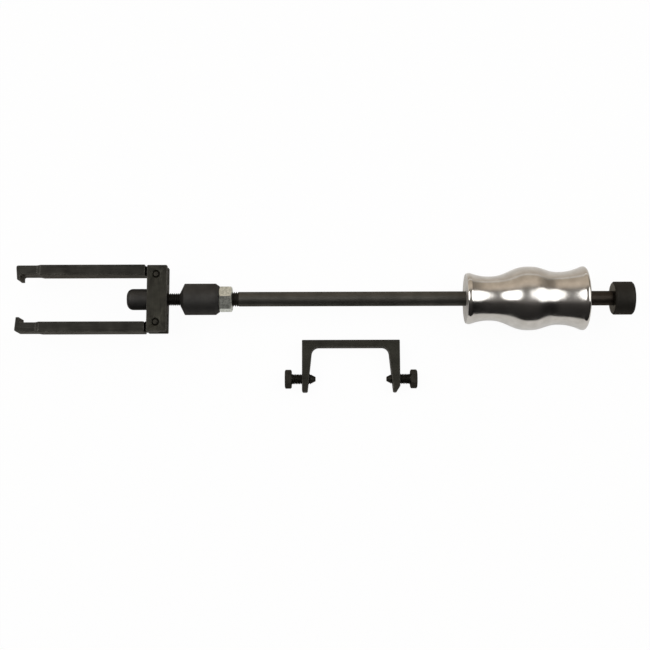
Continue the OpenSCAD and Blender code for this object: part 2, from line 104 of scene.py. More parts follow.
class Surface:
    """Patches in millimetres that together make one closed piece."""

    def __init__(self) -> None:
        """Starts with no patch."""
        self.points: list[Array] = []
        self.faces: list[list[int]] = []
        self.finishes: list[int] = []
        self.count = 0

    def patch(self, points: Array, faces: list[list[int]], finish: int = 0) -> None:
        """Adds a patch.

        Args:
            points: Its points by three coordinates.
            faces: The corners of each face, as numbers of its own points.
            finish: 0 for the piece's own finish, 1 or more for its others.
        """
        self.points.append(points)
        self.faces.extend([[self.count + corner for corner in face] for face in faces])
        self.finishes.extend([finish] * len(faces))
        self.count += len(points)

    def grid(self, points: Array, wrap: bool = False, finish: int = 0) -> None:
        """Adds a sheet of quads.

        Args:
            points: Rows by columns by three coordinates.
            wrap: Whether the last column joins the first.
            finish: 0 for the piece's own finish, 1 or more for its others.
        """
        rows, columns = points.shape[:2]
        index = np.arange(rows * columns).reshape(rows, columns)
        if wrap:
            index = np.concatenate([index, index[:, :1]], axis=1)
        quads = np.stack([index[:-1, :-1], index[:-1, 1:], index[1:, 1:], index[1:, :-1]], axis=-1)
        self.patch(points.reshape(-1, 3), quads.reshape(-1, 4).tolist(), finish)

    def flat(self, points: Array, finish: int = 0) -> None:
        """Adds one flat face.

        Args:
            points: Its corners in order.
            finish: 0 for the piece's own finish, 1 or more for its others.
        """
        self.patch(points, [list(range(len(points)))], finish)

    def flat_with_hole(self, outline: Array, hole: Array, axes: tuple[int, int]) -> None:
        """Adds a flat face with a round hole as triangles between the two loops.

        Each edge of the hole reaches for the outline corner that its direction faces, and each edge of the
        outline reaches for the hole where its own normal points, so no triangle crosses the hole.

        Args:
            outline: Corners of a convex face, counter-clockwise in the two axes, from a true corner.
            hole: Points round the hole, counter-clockwise.
            axes: The two coordinates in which the angles are measured.
        """
        rim, ring = outline[:, axes], hole[:, axes]
        step = np.roll(rim, -1, axis=0) - rim
        facing = np.arctan2(-step[:, 0], step[:, 1])
        middle = (ring + np.roll(ring, -1, axis=0)) / 2 - ring.mean(axis=0)
        pointing = np.arctan2(middle[:, 1], middle[:, 0])
        inner, outer = (np.mod(np.round(angles, ANGLE_DIGITS), TURN) for angles in (pointing, facing))
        order = np.argsort(np.concatenate([inner, outer]), kind="stable")
        on_ring = order < len(ring)
        i = (inner.argmin() + np.cumsum(on_ring) - on_ring) % len(ring)
        j = (outer.argmin() + np.cumsum(~on_ring) - ~on_ring) % len(rim)
        third = np.where(on_ring, (i + 1) % len(ring), len(ring) + (j + 1) % len(rim))
        triangles = np.stack([i, third, len(ring) + j], axis=1)
        self.patch(np.concatenate([hole, outline]), triangles.tolist())

    def mesh(self, name: str) -> bpy.types.Mesh:
        """Joins the patches into one mesh in metres, with its seams closed and its faces outwards."""
        made = bpy.data.meshes.new(name)
        made.from_pydata((np.concatenate(self.points) * MM).tolist(), [], self.faces)
        made.polygons.foreach_set("material_index", self.finishes)
        edit = bmesh.new()
        edit.from_mesh(made)
        bmesh.ops.remove_doubles(edit, verts=edit.verts, dist=MERGE_M)
        bmesh.ops.dissolve_degenerate(edit, edges=edit.edges, dist=MERGE_M)
        bmesh.ops.recalc_face_normals(edit, faces=edit.faces)
        edit.to_mesh(made)
        edit.free()
        made.polygons.foreach_set("use_smooth", np.ones(len(made.polygons), dtype=bool))
        return made


def round_corners(points: Array, radii: Array, closed: bool, steps: int = 4) -> Array:
    """Replaces corners of a flat line by arcs.

    An arc of radius r touches both sides of a corner at r / tan(half its angle) from it, about a centre
    r / sin(half its angle) along its bisector. Between the two touching points the radius turns evenly.

    Args:
        points: Corners by two coordinates.
        radii: The radius at each corner, where zero keeps the corner.
        closed: Whether the last corner joins the first.
        steps: Straight pieces in each arc.

    Returns:
        The rounded line.
    """
    back = np.roll(points, 1, axis=0) - points
    ahead = np.roll(points, -1, axis=0) - points
    back /= np.maximum(np.linalg.norm(back, axis=1, keepdims=True), LEAST)
    ahead /= np.maximum(np.linalg.norm(ahead, axis=1, keepdims=True), LEAST)
    round_here = radii > 0
    if not closed:
        round_here = round_here & (np.arange(len(points)) % (len(points) - 1) > 0)
    half = np.arccos(np.clip((back * ahead).sum(axis=1), -1, 1)) / 2
    half = np.where(round_here, half, math.pi / 4)
    radii = np.where(round_here, radii, 0.0)
    middle = back + ahead
    middle /= np.maximum(np.linalg.norm(middle, axis=1, keepdims=True), LEAST)
    centre = points + middle * (radii / np.sin(half))[:, None]
    reach = (radii / np.tan(half))[:, None]
    first, last = points + back * reach - centre, points + ahead * reach - centre
    sweep = (math.pi - 2 * half)[:, None]
    share = np.linspace(0, 1, steps + 1)[None, :]
    near, far = np.sin((1 - share) * sweep) / np.sin(sweep), np.sin(share * sweep) / np.sin(sweep)
    arcs = centre[:, None] + near[..., None] * first[:, None] + far[..., None] * last[:, None]
    line = arcs.reshape(-1, 2)
    apart = np.linalg.norm(np.diff(line, axis=0, prepend=line[-1:] if closed else line[:1] - 1), axis=1)
    return line[apart > HAIR]


def lift(flat: Array, height: float | Array, axes: tuple[int, int] = (0, 1)) -> Array:
    """Puts a flat line into space.

    Args:
        flat: Points by two coordinates.
        height: The third coordinate, for all points or for each.
        axes: The axes that take the two coordinates.

    Returns:
        Points by three coordinates.
    """
    points = np.empty((len(flat), 3))
    points[:, axes[0]] = flat[:, 0]
    points[:, axes[1]] = flat[:, 1]
    points[:, 3 - sum(axes)] = height
    return points


def circle(centre: tuple[float, float], radius: float, segments: int) -> Array:
    """Walks round a circle.

    Args:
        centre: Its middle.
        radius: Its radius.
        segments: Steps round it.

    Returns:
        Points by two coordinates, counter-clockwise.
    """
    turn = np.arange(segments) * TURN / segments
    return np.stack([centre[0] + radius * np.cos(turn), centre[1] + radius * np.sin(turn)], axis=1)


def ease(share: Array) -> Array:
    """Smooth step from 0 to 1, flat at both ends: 6 s^5 - 15 s^4 + 10 s^3."""
    return share**3 * (6 * share**2 - 15 * share + 10)


@dataclass(frozen=True)
class Line:
    """A turning axis parallel to X, in millimetres: where lengths start on it, and which way they run."""

    x: float
    y: float
    z: float
    way: float = 1.0

    def place(self, along: Array, radius: Array, turn: Array) -> Array:
        """Finds points round the axis.

        Args:
            along: Lengths along the axis.
            radius: Distances from it.
            turn: Angles round it.

        Returns:
            Points by three coordinates, in the shape that the three share.
        """
        along, radius, turn = np.broadcast_arrays(along, radius, turn)
        return np.stack(
            [
                self.x + self.way * along,
                self.y + self.way * radius * np.cos(turn),
                self.z + radius * np.sin(turn),
            ],
            axis=-1,
        )


def revolve(surface: Surface, line: Line, profile: Array, segments: int, finish: int = 0) -> None:
    """Adds a profile of lengths and radii carried round the axis.

    Args:
        surface: Takes the patch.
        line: The turning axis.
        profile: Rows of a length along the axis and a radius.
        segments: Steps round the axis.
        finish: 0 for the piece's own finish, 1 or more for its others.
    """
    turn = np.arange(segments) * TURN / segments
    surface.grid(line.place(profile[:, :1], profile[:, 1:], turn[None, :]), wrap=True, finish=finish)


# Shares of a pitch at which the ridge of a thread bends, and how high it stands there
RIDGE_SHARES = np.array([0.0, 0.1, 0.41, 0.46, 0.54, 0.59, 0.9, 1.0])
RIDGE_RISES = np.array([0.0, 0.0, 0.92, 1.0, 1.0, 0.92, 0.0, 0.0])
THREAD_DEPTH_SHARE = 0.54


@dataclass(frozen=True)
class Thread:
    """One right-hand thread on a bar."""

    start: float
    end: float
    crest: float
    pitch: float
    first: ThreadEnd = ThreadEnd.CHAMFER
    last: ThreadEnd = ThreadEnd.CHAMFER
    run_out: float = 2.0

    @property
    def root(self) -> float:
        """Radius at the bottom of the groove."""
        return self.crest - THREAD_DEPTH_SHARE * self.pitch

    def cut(self, surface: Surface, line: Line, segments: int, finish: int = 0) -> None:
        """Adds the thread as one strip that follows its helix.

        At turn t and share u of the pitch, the place along the axis is start + pitch (t / full turn + u - 1),
        held between start and end. The radius there is the ridge's, held under a 45 degree cone at a
        chamfered end, and drawn out to the crest over the run-out at the other kind of end.

        Args:
            surface: Takes the patch.
            line: The turning axis.
            segments: Steps in one turn.
            finish: 0 for the piece's own finish, 1 or more for its others.
        """
        turns = math.ceil((self.end - self.start) / self.pitch) + 1
        turn = np.arange(turns * segments + 1)[:, None] * TURN / segments
        along = self.start + self.pitch * (turn / TURN + RIDGE_SHARES[None, :] - 1)
        along = np.clip(along, self.start, self.end)
        radius = np.broadcast_to(self.root + (self.crest - self.root) * RIDGE_RISES, along.shape)
        for end, distance in ((self.first, along - self.start), (self.last, self.end - along)):
            if end is ThreadEnd.CHAMFER:
                radius = np.minimum(radius, self.root + distance)
            else:
                radius = self.crest - (self.crest - radius) * np.clip(distance / self.run_out, 0, 1)
        surface.grid(line.place(along, radius, turn), finish=finish)


@dataclass(frozen=True)
class Hexagon:
    """A hexagonal bar with its corners chamfered by a 30 degree cone at both ends."""

    flats: float
    height: float
    first_flat: float
    segments: int = 144
    # Radius of the flat end faces, as a share of the inscribed circle's
    face_share: float = 0.985
    # How sharp the six long edges are: the power in which the six flats are blended
    sharpness: float = 90.0

    def rings(self, bore: float) -> tuple[Array, Array, Array]:
        """The head's surface from the middle of its bottom face round to the middle of its top face.

        A flat with its normal at angle a stands flats / 2 / cos(turn - a) from the axis. The six are blended
        by the power mean of their cosines, which rounds the long edges. The cone that chamfers the corners
        drops from the end face by tan 30 of what the hexagon stands out beyond that face.

        Args:
            bore: Radius of the hole through it, or zero.

        Returns:
            Lengths, radii and angles, as rings by steps round.
        """
        turn = np.arange(self.segments) * TURN / self.segments
        normals = self.first_flat + np.arange(6)[:, None] * TURN / 6
        facing = np.maximum(np.cos(turn[None, :] - normals), 0)
        radius = self.flats / 2 / (facing**self.sharpness).sum(axis=0) ** (1 / self.sharpness)
        face = np.full_like(turn, self.flats / 2 * self.face_share)
        drop = (radius - face) * math.tan(TURN / 12)
        hole, zero = np.full_like(turn, bore), np.zeros_like(turn)
        top = zero + self.height
        along = np.stack([zero, zero, drop, top - drop, top, top])
        return along, np.stack([hole, face, radius, radius, face, hole]), turn[None, :]


# Finishes

# How many times longer than wide a straight tool mark is, and how many finer noises roughen it
STREAK = 60
MARK_DETAIL = 3.0
# The anisotropy's rotation is a share of a turn
QUARTER = 0.25


def linear(colour: str) -> tuple[float, float, float, float]:
    """Turns an sRGB hex colour into linear light by the standard's own curve."""
    parts = np.array([int(colour[i:i + 2], 16) for i in (0, 2, 4)]) / 255
    light = np.where(parts <= 0.04045, parts / 12.92, ((parts + 0.055) / 1.055) ** 2.4)
    return (*light.tolist(), 1.0)


def add(
    tree: bpy.types.NodeTree,
    kind: str,
    settings: dict[str, object] | None = None,
    sockets: dict[str | int, object] | None = None,
) -> bpy.types.Node:
    """Adds a node.

    Args:
        tree: The tree that takes it.
        kind: Its type.
        settings: Its own properties.
        sockets: Its inputs by name or number, each a value or the output that feeds it.

    Returns:
        The node.
    """
    made = tree.nodes.new(kind)
    for key, value in (settings or {}).items():
        setattr(made, key, value)
    for key, value in (sockets or {}).items():
        if isinstance(value, bpy.types.NodeSocket):
            tree.links.new(value, made.inputs[key])
        else:
            made.inputs[key].default_value = value
    return made


class Finish(Protocol):
    """Anything that can dress a piece."""

    def material(self) -> bpy.types.Material:
        """The finish as a material, made once."""


def empty_material(name: str) -> tuple[bpy.types.Material, bpy.types.NodeTree, bpy.types.Node]:
    """Makes a material with nothing in it but its output.

    Args:
        name: Its name.

    Returns:
        The material, its node tree and its output node.
    """
    made = bpy.data.materials.new(name)
    made.use_nodes = True
    tree = made.node_tree
    tree.nodes.clear()
    return made, tree, add(tree, "ShaderNodeOutputMaterial")


def marks(tree: bpy.types.NodeTree, grain: Grain, spacing: float, seed: float) -> bpy.types.NodeSocket:
    """Height of the tool marks that a finish has.

    Straight marks are noise that is stretched sixty times along its axis. Rings are noise of the place along
    X alone. Without a direction it is plain noise.

    Args:
        tree: The material's nodes.
        grain: Which way the marks run.
        spacing: Distance between marks in millimetres.
        seed: Shifts the pattern, so that two finishes differ.

    Returns:
        The height from 0 to 1.
    """
    place = add(tree, "ShaderNodeTexCoord").outputs["Object"]
    fine = 1 / (spacing * MM)
    long = fine / STREAK
    if grain is Grain.RINGS:
        x = add(tree, "ShaderNodeSeparateXYZ", sockets={0: place}).outputs["X"]
        way = add(tree, "ShaderNodeMath", {"operation": "MULTIPLY_ADD"}, {0: x, 1: fine, 2: seed})
        rings = {"W": way.outputs[0], "Scale": 1.0}
        return add(tree, "ShaderNodeTexNoise", {"noise_dimensions": "1D"}, rings).outputs[0]
    scale = {
        Grain.ALONG_X: (long, fine, fine),
        Grain.ALONG_Y: (fine, long, fine),
        Grain.NONE: (fine, fine, fine),
    }[grain]
    turned = add(tree, "ShaderNodeMapping", sockets={0: place, "Location": (seed,) * 3, "Scale": scale})
    streaks = {0: turned.outputs[0], "Scale": 1.0, "Detail": MARK_DETAIL}
    return add(tree, "ShaderNodeTexNoise", sockets=streaks).outputs[0]


@dataclass(frozen=True)
class BlackOxide:
    """Carbon steel blackened in a hot salt bath and oiled.

    The bath turns the skin into magnetite, which is nearly black with a brown to olive cast. It mirrors
    like a metal where the tool left the steel smooth, and scatters light like a dry pigment in its pores.
    The marks of the tool that cut the steel show through it.
    """

    name: str
    grain: Grain
    dark: str = "262522"
    light: str = "3A3832"
    # Tint of what it reflects from the side
    side: str = "C4C0BA"
    # Share of the skin that reflects as a metal does, and the gloss of the oil on the rest
    metal: float = 0.85
    oil: float = 0.2
    roughness: float = 0.46
    # Spread of the roughness over the patches
    uneven: float = 0.12
    # Distance between tool marks, and their depth, in millimetres, and how much of it the light shows
    spacing: float = 0.5
    depth: float = 0.012
    relief: float = 0.6
    # Size of the paler patches in millimetres, and how much finer specks break them up, from 0 to 1
    patch: float = 14.0
    specks: float = 0.5
    patch_detail: float = 5.0
    # Weights of the marks and of the patches, and the range of their sum that runs from dark to light
    from_marks: float = 0.45
    from_patches: float = 0.6
    darkest: float = 0.3
    lightest: float = 0.75
    seed: float = 0.0

    def material(self) -> bpy.types.Material:
        """The finish as a material, made once."""
        if self.name in bpy.data.materials:
            return bpy.data.materials[self.name]
        made, tree, output = empty_material(self.name)
        height = marks(tree, self.grain, self.spacing, self.seed)
        place = add(tree, "ShaderNodeTexCoord").outputs["Object"]
        patches = add(tree, "ShaderNodeTexNoise", sockets={
            0: place, "Scale": 1 / (self.patch * MM),
            "Detail": self.patch_detail, "Roughness": self.specks,
        }).outputs[0]
        share = add(
            tree, "ShaderNodeMath", {"operation": "MULTIPLY"}, {0: height, 1: self.from_marks}
        ).outputs[0]
        share = add(
            tree, "ShaderNodeMath", {"operation": "MULTIPLY_ADD", "use_clamp": True},
            {0: patches, 1: self.from_patches, 2: share},
        ).outputs[0]
        ramp = add(tree, "ShaderNodeValToRGB", sockets={0: share})
        ends = (self.darkest, self.dark), (self.lightest, self.light)
        for element, (position, colour) in zip(ramp.color_ramp.elements, ends):
            element.position = position
            element.color = linear(colour)
        rough = add(tree, "ShaderNodeMapRange", sockets={
            0: share, 1: self.darkest, 2: self.lightest,
            3: self.roughness + self.uneven / 2, 4: self.roughness - self.uneven / 2,
        }).outputs[0]
        bump = add(tree, "ShaderNodeBump", sockets={
            "Strength": self.relief, "Distance": self.depth * MM, "Height": height,
        }).outputs[0]
        shader = add(tree, "ShaderNodeBsdfPrincipled", sockets={
            "Base Color": ramp.outputs[0], "Metallic": self.metal, "Specular IOR Level": self.oil,
            "Specular Tint": linear(self.side), "Roughness": rough, "Normal": bump,
        })
        tree.links.new(shader.outputs[0], output.inputs[0])
        return made


@dataclass(frozen=True)
class BareSteel:
    """Steel without a black skin: ground, polished or zinc plated.

    It is nearly white, and what it mirrors is as sharp as its roughness lets it be.
    """

    name: str
    grain: Grain
    dark: str = "B5B1AB"
    light: str = "CFCCC7"
    roughness: float = 0.16
    # How far the roughness strays to both sides over the patches
    uneven: float = 0.05
    # Distance between tool marks, and their depth, in millimetres, and how much of it the light shows
    spacing: float = 0.3
    depth: float = 0.004
    relief: float = 0.5
    # Size of the paler patches in millimetres
    patch: float = 9.0
    patch_detail: float = 3.0
    seed: float = 0.0
    # How much further the light spreads along X than round it, where fine turning marks run round X
    spread: float = 0.0
    # Range of the noise that runs from the dark to the light colour: a narrow one makes clear spots
    spots: tuple[float, float] = (0.2, 0.8)

    def material(self) -> bpy.types.Material:
        """The finish as a material, made once."""
        if self.name in bpy.data.materials:
            return bpy.data.materials[self.name]
        made, tree, output = empty_material(self.name)
        height = marks(tree, self.grain, self.spacing, self.seed)
        place = add(tree, "ShaderNodeTexCoord").outputs["Object"]
        patches = add(tree, "ShaderNodeTexNoise", sockets={
            0: place, "Scale": 1 / (self.patch * MM), "Detail": self.patch_detail,
        }).outputs[0]
        spotted = add(
            tree, "ShaderNodeMapRange", sockets={0: patches, 1: self.spots[0], 2: self.spots[1]}
        ).outputs[0]
        mixed = add(
            tree, "ShaderNodeMix", {"data_type": "RGBA"},
            {0: spotted, 6: linear(self.dark), 7: linear(self.light)},
        ).outputs[2]
        rough = add(
            tree, "ShaderNodeMapRange",
            sockets={0: patches, 3: self.roughness - self.uneven, 4: self.roughness + self.uneven},
        ).outputs[0]
        bump = add(tree, "ShaderNodeBump", sockets={
            "Strength": self.relief, "Distance": self.depth * MM, "Height": height,
        }).outputs[0]
        shader = add(
            tree, "ShaderNodeBsdfPrincipled",
            sockets={"Base Color": mixed, "Metallic": 1.0, "Roughness": rough, "Normal": bump},
        )
        if self.spread > 0:
            round_x = add(tree, "ShaderNodeTangent", {"direction_type": "RADIAL", "axis": "X"}).outputs[0]
            shader.inputs["Anisotropic"].default_value = self.spread
            shader.inputs["Anisotropic Rotation"].default_value = QUARTER
            tree.links.new(round_x, shader.inputs["Tangent"])
        tree.links.new(shader.outputs[0], output.inputs[0])
        return made


# Blackened flat bar, with the straight marks of milling along it
MILLED_BAR = BlackOxide("blackened_milled_bar", Grain.ALONG_X, dark="1D1C1A", light="34332F", depth=0.02)
# The clamp frame's bar stock came out of the bath a little paler
MILLED_FRAME = BlackOxide("blackened_milled_frame", Grain.ALONG_X, dark="262521", light="3E3D37", seed=23.0)
# The yoke was milled across the tool
MILLED_YOKE = BlackOxide(
    "blackened_milled_yoke", Grain.ALONG_Y, dark="22211F", light="3D3C35", depth=0.02, patch=9.0, seed=3.0
)
# Edges rub bare first: the coat is thinner there, so it is greyer. The paler colour also paints a highlight
# along rounded edges and bends
EDGE_WEAR_AND_HIGHLIGHT = BlackOxide(
    "blackened_worn_edge", Grain.NONE, dark="2F2E2B", light="605E59", spacing=0.8, seed=5.0
)
# Turned and blackened: fine rings, and a dry, dull black
TURNED_BLACK = BlackOxide(
    "blackened_turned_steel", Grain.RINGS, dark="343332", light="4D4C4A", roughness=0.62,
    spacing=0.22, depth=0.006, seed=7.0,
)
# The stop was turned from another bar and came out darker
TURNED_STOP = BlackOxide(
    "blackened_turned_stop", Grain.RINGS, dark="292724", light="3C3A36", roughness=0.66,
    spacing=0.22, depth=0.006, seed=29.0,
)
# Its two faces are struck and rubbed: they are glossier, and the coat is broken up into specks
FACED_STOP = BlackOxide(
    "blackened_faced_stop", Grain.NONE, dark="171512", light="625E55", roughness=0.26,
    spacing=0.9, depth=0.015, patch=1.6, specks=0.8, seed=31.0,
)
# The rod is drawn bar, smooth, with long faint streaks
DRAWN_ROD = BlackOxide(
    "blackened_drawn_rod", Grain.ALONG_X, dark="3E3D39", light="5B5954", roughness=0.5,
    spacing=0.35, depth=0.005, seed=11.0,
)
# Painted shade: next to the weight and the stop, where they shade it, the rod is coloured browner and darker
ROD_PAINTED_SHADE = BlackOxide(
    "oily_drawn_rod", Grain.ALONG_X, dark="2B2622", light="413B35", roughness=0.48,
    spacing=0.35, depth=0.005, seed=19.0,
)
# Its threads are cut, and drier
CUT_THREAD = BlackOxide(
    "blackened_cut_thread", Grain.NONE, dark="2B2A27", light="403E39", roughness=0.5, spacing=0.4, seed=37.0
)
# Rolled threads, forged heads and the ends of pins: a grainy, drier black
ROLLED_THREAD = BlackOxide(
    "blackened_rolled_thread", Grain.NONE, dark="252422", light="373531", roughness=0.5,
    spacing=0.4, seed=13.0,
)
FORGED_HEAD = BlackOxide(
    "blackened_forged_head", Grain.NONE, roughness=0.5, spacing=0.6, depth=0.03, patch=3.0, seed=17.0
)
# Turned on a lathe and polished: a mirror with faint rings
POLISHED = BareSteel(
    "polished_turned_steel", Grain.RINGS, roughness=0.2, spacing=0.25, depth=0.001, spread=0.6
)
# The rims were buffed once more, across the turning marks
BUFFED = BareSteel("buffed_steel", Grain.NONE, roughness=0.09, uneven=0.02, depth=0.0005)
# Faced across on the lathe and left as cut: a soft gloss
FACED = BareSteel("faced_steel", Grain.NONE, roughness=0.5, spacing=0.6, depth=0.01)
# Zinc with a pale yellow passivation: matt and slightly mottled
ZINC = BareSteel(
    "yellow_zinc_plate", Grain.NONE, dark="B6B9B0", light="D8DAD1", roughness=0.4, uneven=0.1, spacing=0.8,
    depth=0.03, patch=1.6, spots=(0.42, 0.58),
)
# Hardened and ground
GROUND = BareSteel("ground_steel", Grain.NONE, roughness=0.2)


# Pieces


def box_mm(node: str) -> tuple[Array, Array]:
    """Measures a node.

    Args:
        node: Its name.

    Returns:
        Its lowest and its highest corner in millimetres.
    """
    low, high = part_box(node)
    return np.array(low) / MM, np.array(high) / MM


def tool_axis(node: str) -> Line:
    """Finds the tool's axis, which is the middle of the yoke.

    Args:
        node: The node at whose left end lengths start.

    Returns:
        The axis.
    """
    low, high = box_mm("yoke")
    middle = (low + high) / 2
    return Line(float(box_mm(node)[0][0]), float(middle[1]), float(middle[2]))


def length_of(node: str) -> float:
    """Measures a node along X.

    Args:
        node: Its name.

    Returns:
        Its length in millimetres.
    """
    low, high = box_mm(node)
    return float(high[0] - low[0])


@dataclass
class Piece:
    """What every piece needs besides its shape."""

    name: str
    node: str
    body: str
    slot: Slot
    finish: Finish
    # Edges sharper than this keep their crease on turned pieces
    crease: float = math.radians(32)

    def finish_off(
        self, surface: Surface, edge: float = 0.0, others: tuple[Finish, ...] = ()
    ) -> bpy.types.Object:
        """Makes the object of a surface, dresses it and hangs it on its body.

        Args:
            surface: The piece's patches.
            edge: Width of the rounding on its right-angled edges in millimetres, or zero on a turned piece.
            others: The finishes that patches ask for as 1 and more. The first is also the rounding's.

        Returns:
            The object.
        """
        mesh = surface.mesh(self.name)
        for finish in (self.finish, *others):
            mesh.materials.append(finish.material())
        made = bpy.data.objects.new(self.name, mesh)
        bpy.context.scene.collection.objects.link(made)
        if edge > 0:
            bevel = made.modifiers.new("edges", "BEVEL")
            bevel.width = edge * MM
            bevel.segments = EDGE_STEPS
            bevel.limit_method = "ANGLE"
            bevel.angle_limit = ROUNDED_FROM
            bevel.use_clamp_overlap = False
            if others:
                # The rounding takes the paler edge finish: wear, and a painted highlight along the edge
                bevel.material = 1
            made.modifiers.new("normals", "WEIGHTED_NORMAL").keep_sharp = True
        else:
            mesh.set_sharp_from_angle(angle=self.crease)
        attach(made, self.body)
        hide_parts(self.node)
        log.info("%s: %d faces on body %s", self.name, len(mesh.polygons), self.body)
        return made


@dataclass
class Yoke(Piece):
    """The cross block: a slot for a leg in each end, and the spindle's hole through its middle."""

    slot_depth: float = 17.75
    slot_height: float = 8.2
    corner: float = 1.0
    edge: float = 0.45
    countersink: float = 1.1
    pin_clearance: float = 0.02
    thread_clearance: float = 0.05
    segments: int = 48

    def build(self) -> bpy.types.Object:
        """Sews the block from flat faces, with its holes between them."""
        (xa, ya, za), (xb, yb, zb) = box_mm(self.node)
        y_mid, z_mid = (ya + yb) / 2, (za + zb) / 2
        slot_low, slot_high = z_mid - self.slot_height / 2, z_mid + self.slot_height / 2
        surface = Surface()
        spindle_low, spindle_high = box_mm("spindle")
        bore = (spindle_high[1] - spindle_low[1]) / 2 + self.thread_clearance
        ring = circle((y_mid, z_mid), bore, self.segments)
        floors = (ya + self.slot_depth, yb - self.slot_depth)
        middle = np.array([
            (floors[0], za), (y_mid, za), (floors[1], za), (floors[1], slot_low), (floors[1], slot_high),
            (floors[1], zb), (y_mid, zb), (floors[0], zb), (floors[0], slot_high), (floors[0], slot_low),
        ])
        for x in (xa, xb):
            surface.flat_with_hole(lift(middle, x, (1, 2)), lift(ring, x, (1, 2)), (1, 2))
        surface.grid(np.stack([lift(ring, x, (1, 2)) for x in (xa, xb)]), wrap=True)
        for side, pin in ((1, "upper_leg_pin"), (-1, "lower_leg_pin")):
            self._end(surface, side, pin)
        return self.finish_off(surface, self.edge, (EDGE_WEAR_AND_HIGHLIGHT,))

    def _end(self, surface: Surface, side: int, pin: str) -> None:
        """Adds one end of the block: two cheeks with the pin's holes, and the floor of the slot between them.

        Args:
            surface: Takes the patches.
            side: 1 for the upper end, -1 for the lower one.
            pin: The node of that end's pin.
        """
        (xa, ya, za), (xb, yb, zb) = box_mm(self.node)
        y_mid, z_mid = (ya + yb) / 2, (za + zb) / 2
        y_end = (yb - ya) / 2
        y_floor = y_end - self.slot_depth
        half = self.slot_height / 2
        corners = np.array([(xb, y_floor), (xb, y_end), (xa, y_end), (xa, y_floor)])
        cheek = round_corners(corners, np.array([0, self.corner, self.corner, 0]), closed=True)
        whole = np.concatenate([[(xb, 0)], cheek, [(xa, 0)]])
        pin_low, pin_high = box_mm(pin)
        pin_x, pin_y, _ = (pin_low + pin_high) / 2
        radius = (pin_high[0] - pin_low[0]) / 2 + self.pin_clearance
        for way in (-1, 1):
            z_outer, z_inner = z_mid + way * (zb - za) / 2, z_mid + way * half
            rings = [
                lift(circle((pin_x, side * (pin_y - y_mid)), r, self.segments), z)
                for r, z in (
                    (radius + self.countersink, z_outer),
                    (radius, z_outer - way * self.countersink),
                    (radius, z_inner),
                )
            ]
            patches = Surface()
            patches.flat_with_hole(lift(whole, z_outer), rings[0], (0, 1))
            patches.flat_with_hole(lift(cheek, z_inner), rings[2], (0, 1))
            patches.grid(np.stack(rings), wrap=True)
            patches.grid(np.stack([lift(cheek, z_inner), lift(cheek, z_outer)]))
            self._mirror_into(surface, patches, side, y_mid)
        slot = np.array([
            (xa, y_floor, z_mid - half), (xb, y_floor, z_mid - half),
            (xb, y_floor, z_mid + half), (xa, y_floor, z_mid + half),
        ])
        floor = Surface()
        floor.flat(slot)
        self._mirror_into(surface, floor, side, y_mid)

    @staticmethod
    def _mirror_into(surface: Surface, patches: Surface, side: int, y_mid: float) -> None:
        """Moves patches that were drawn about Y = 0 to one side of the yoke's middle.

        Args:
            surface: Takes the patches.
            patches: The patches, which lie where Y is positive.
            side: 1 for the upper side, -1 for the lower one.
            y_mid: Where the yoke's middle lies along Y.
        """
        points = np.concatenate(patches.points) * np.array([1, side, 1]) + np.array([0, y_mid, 0])
        surface.patch(points, patches.faces)


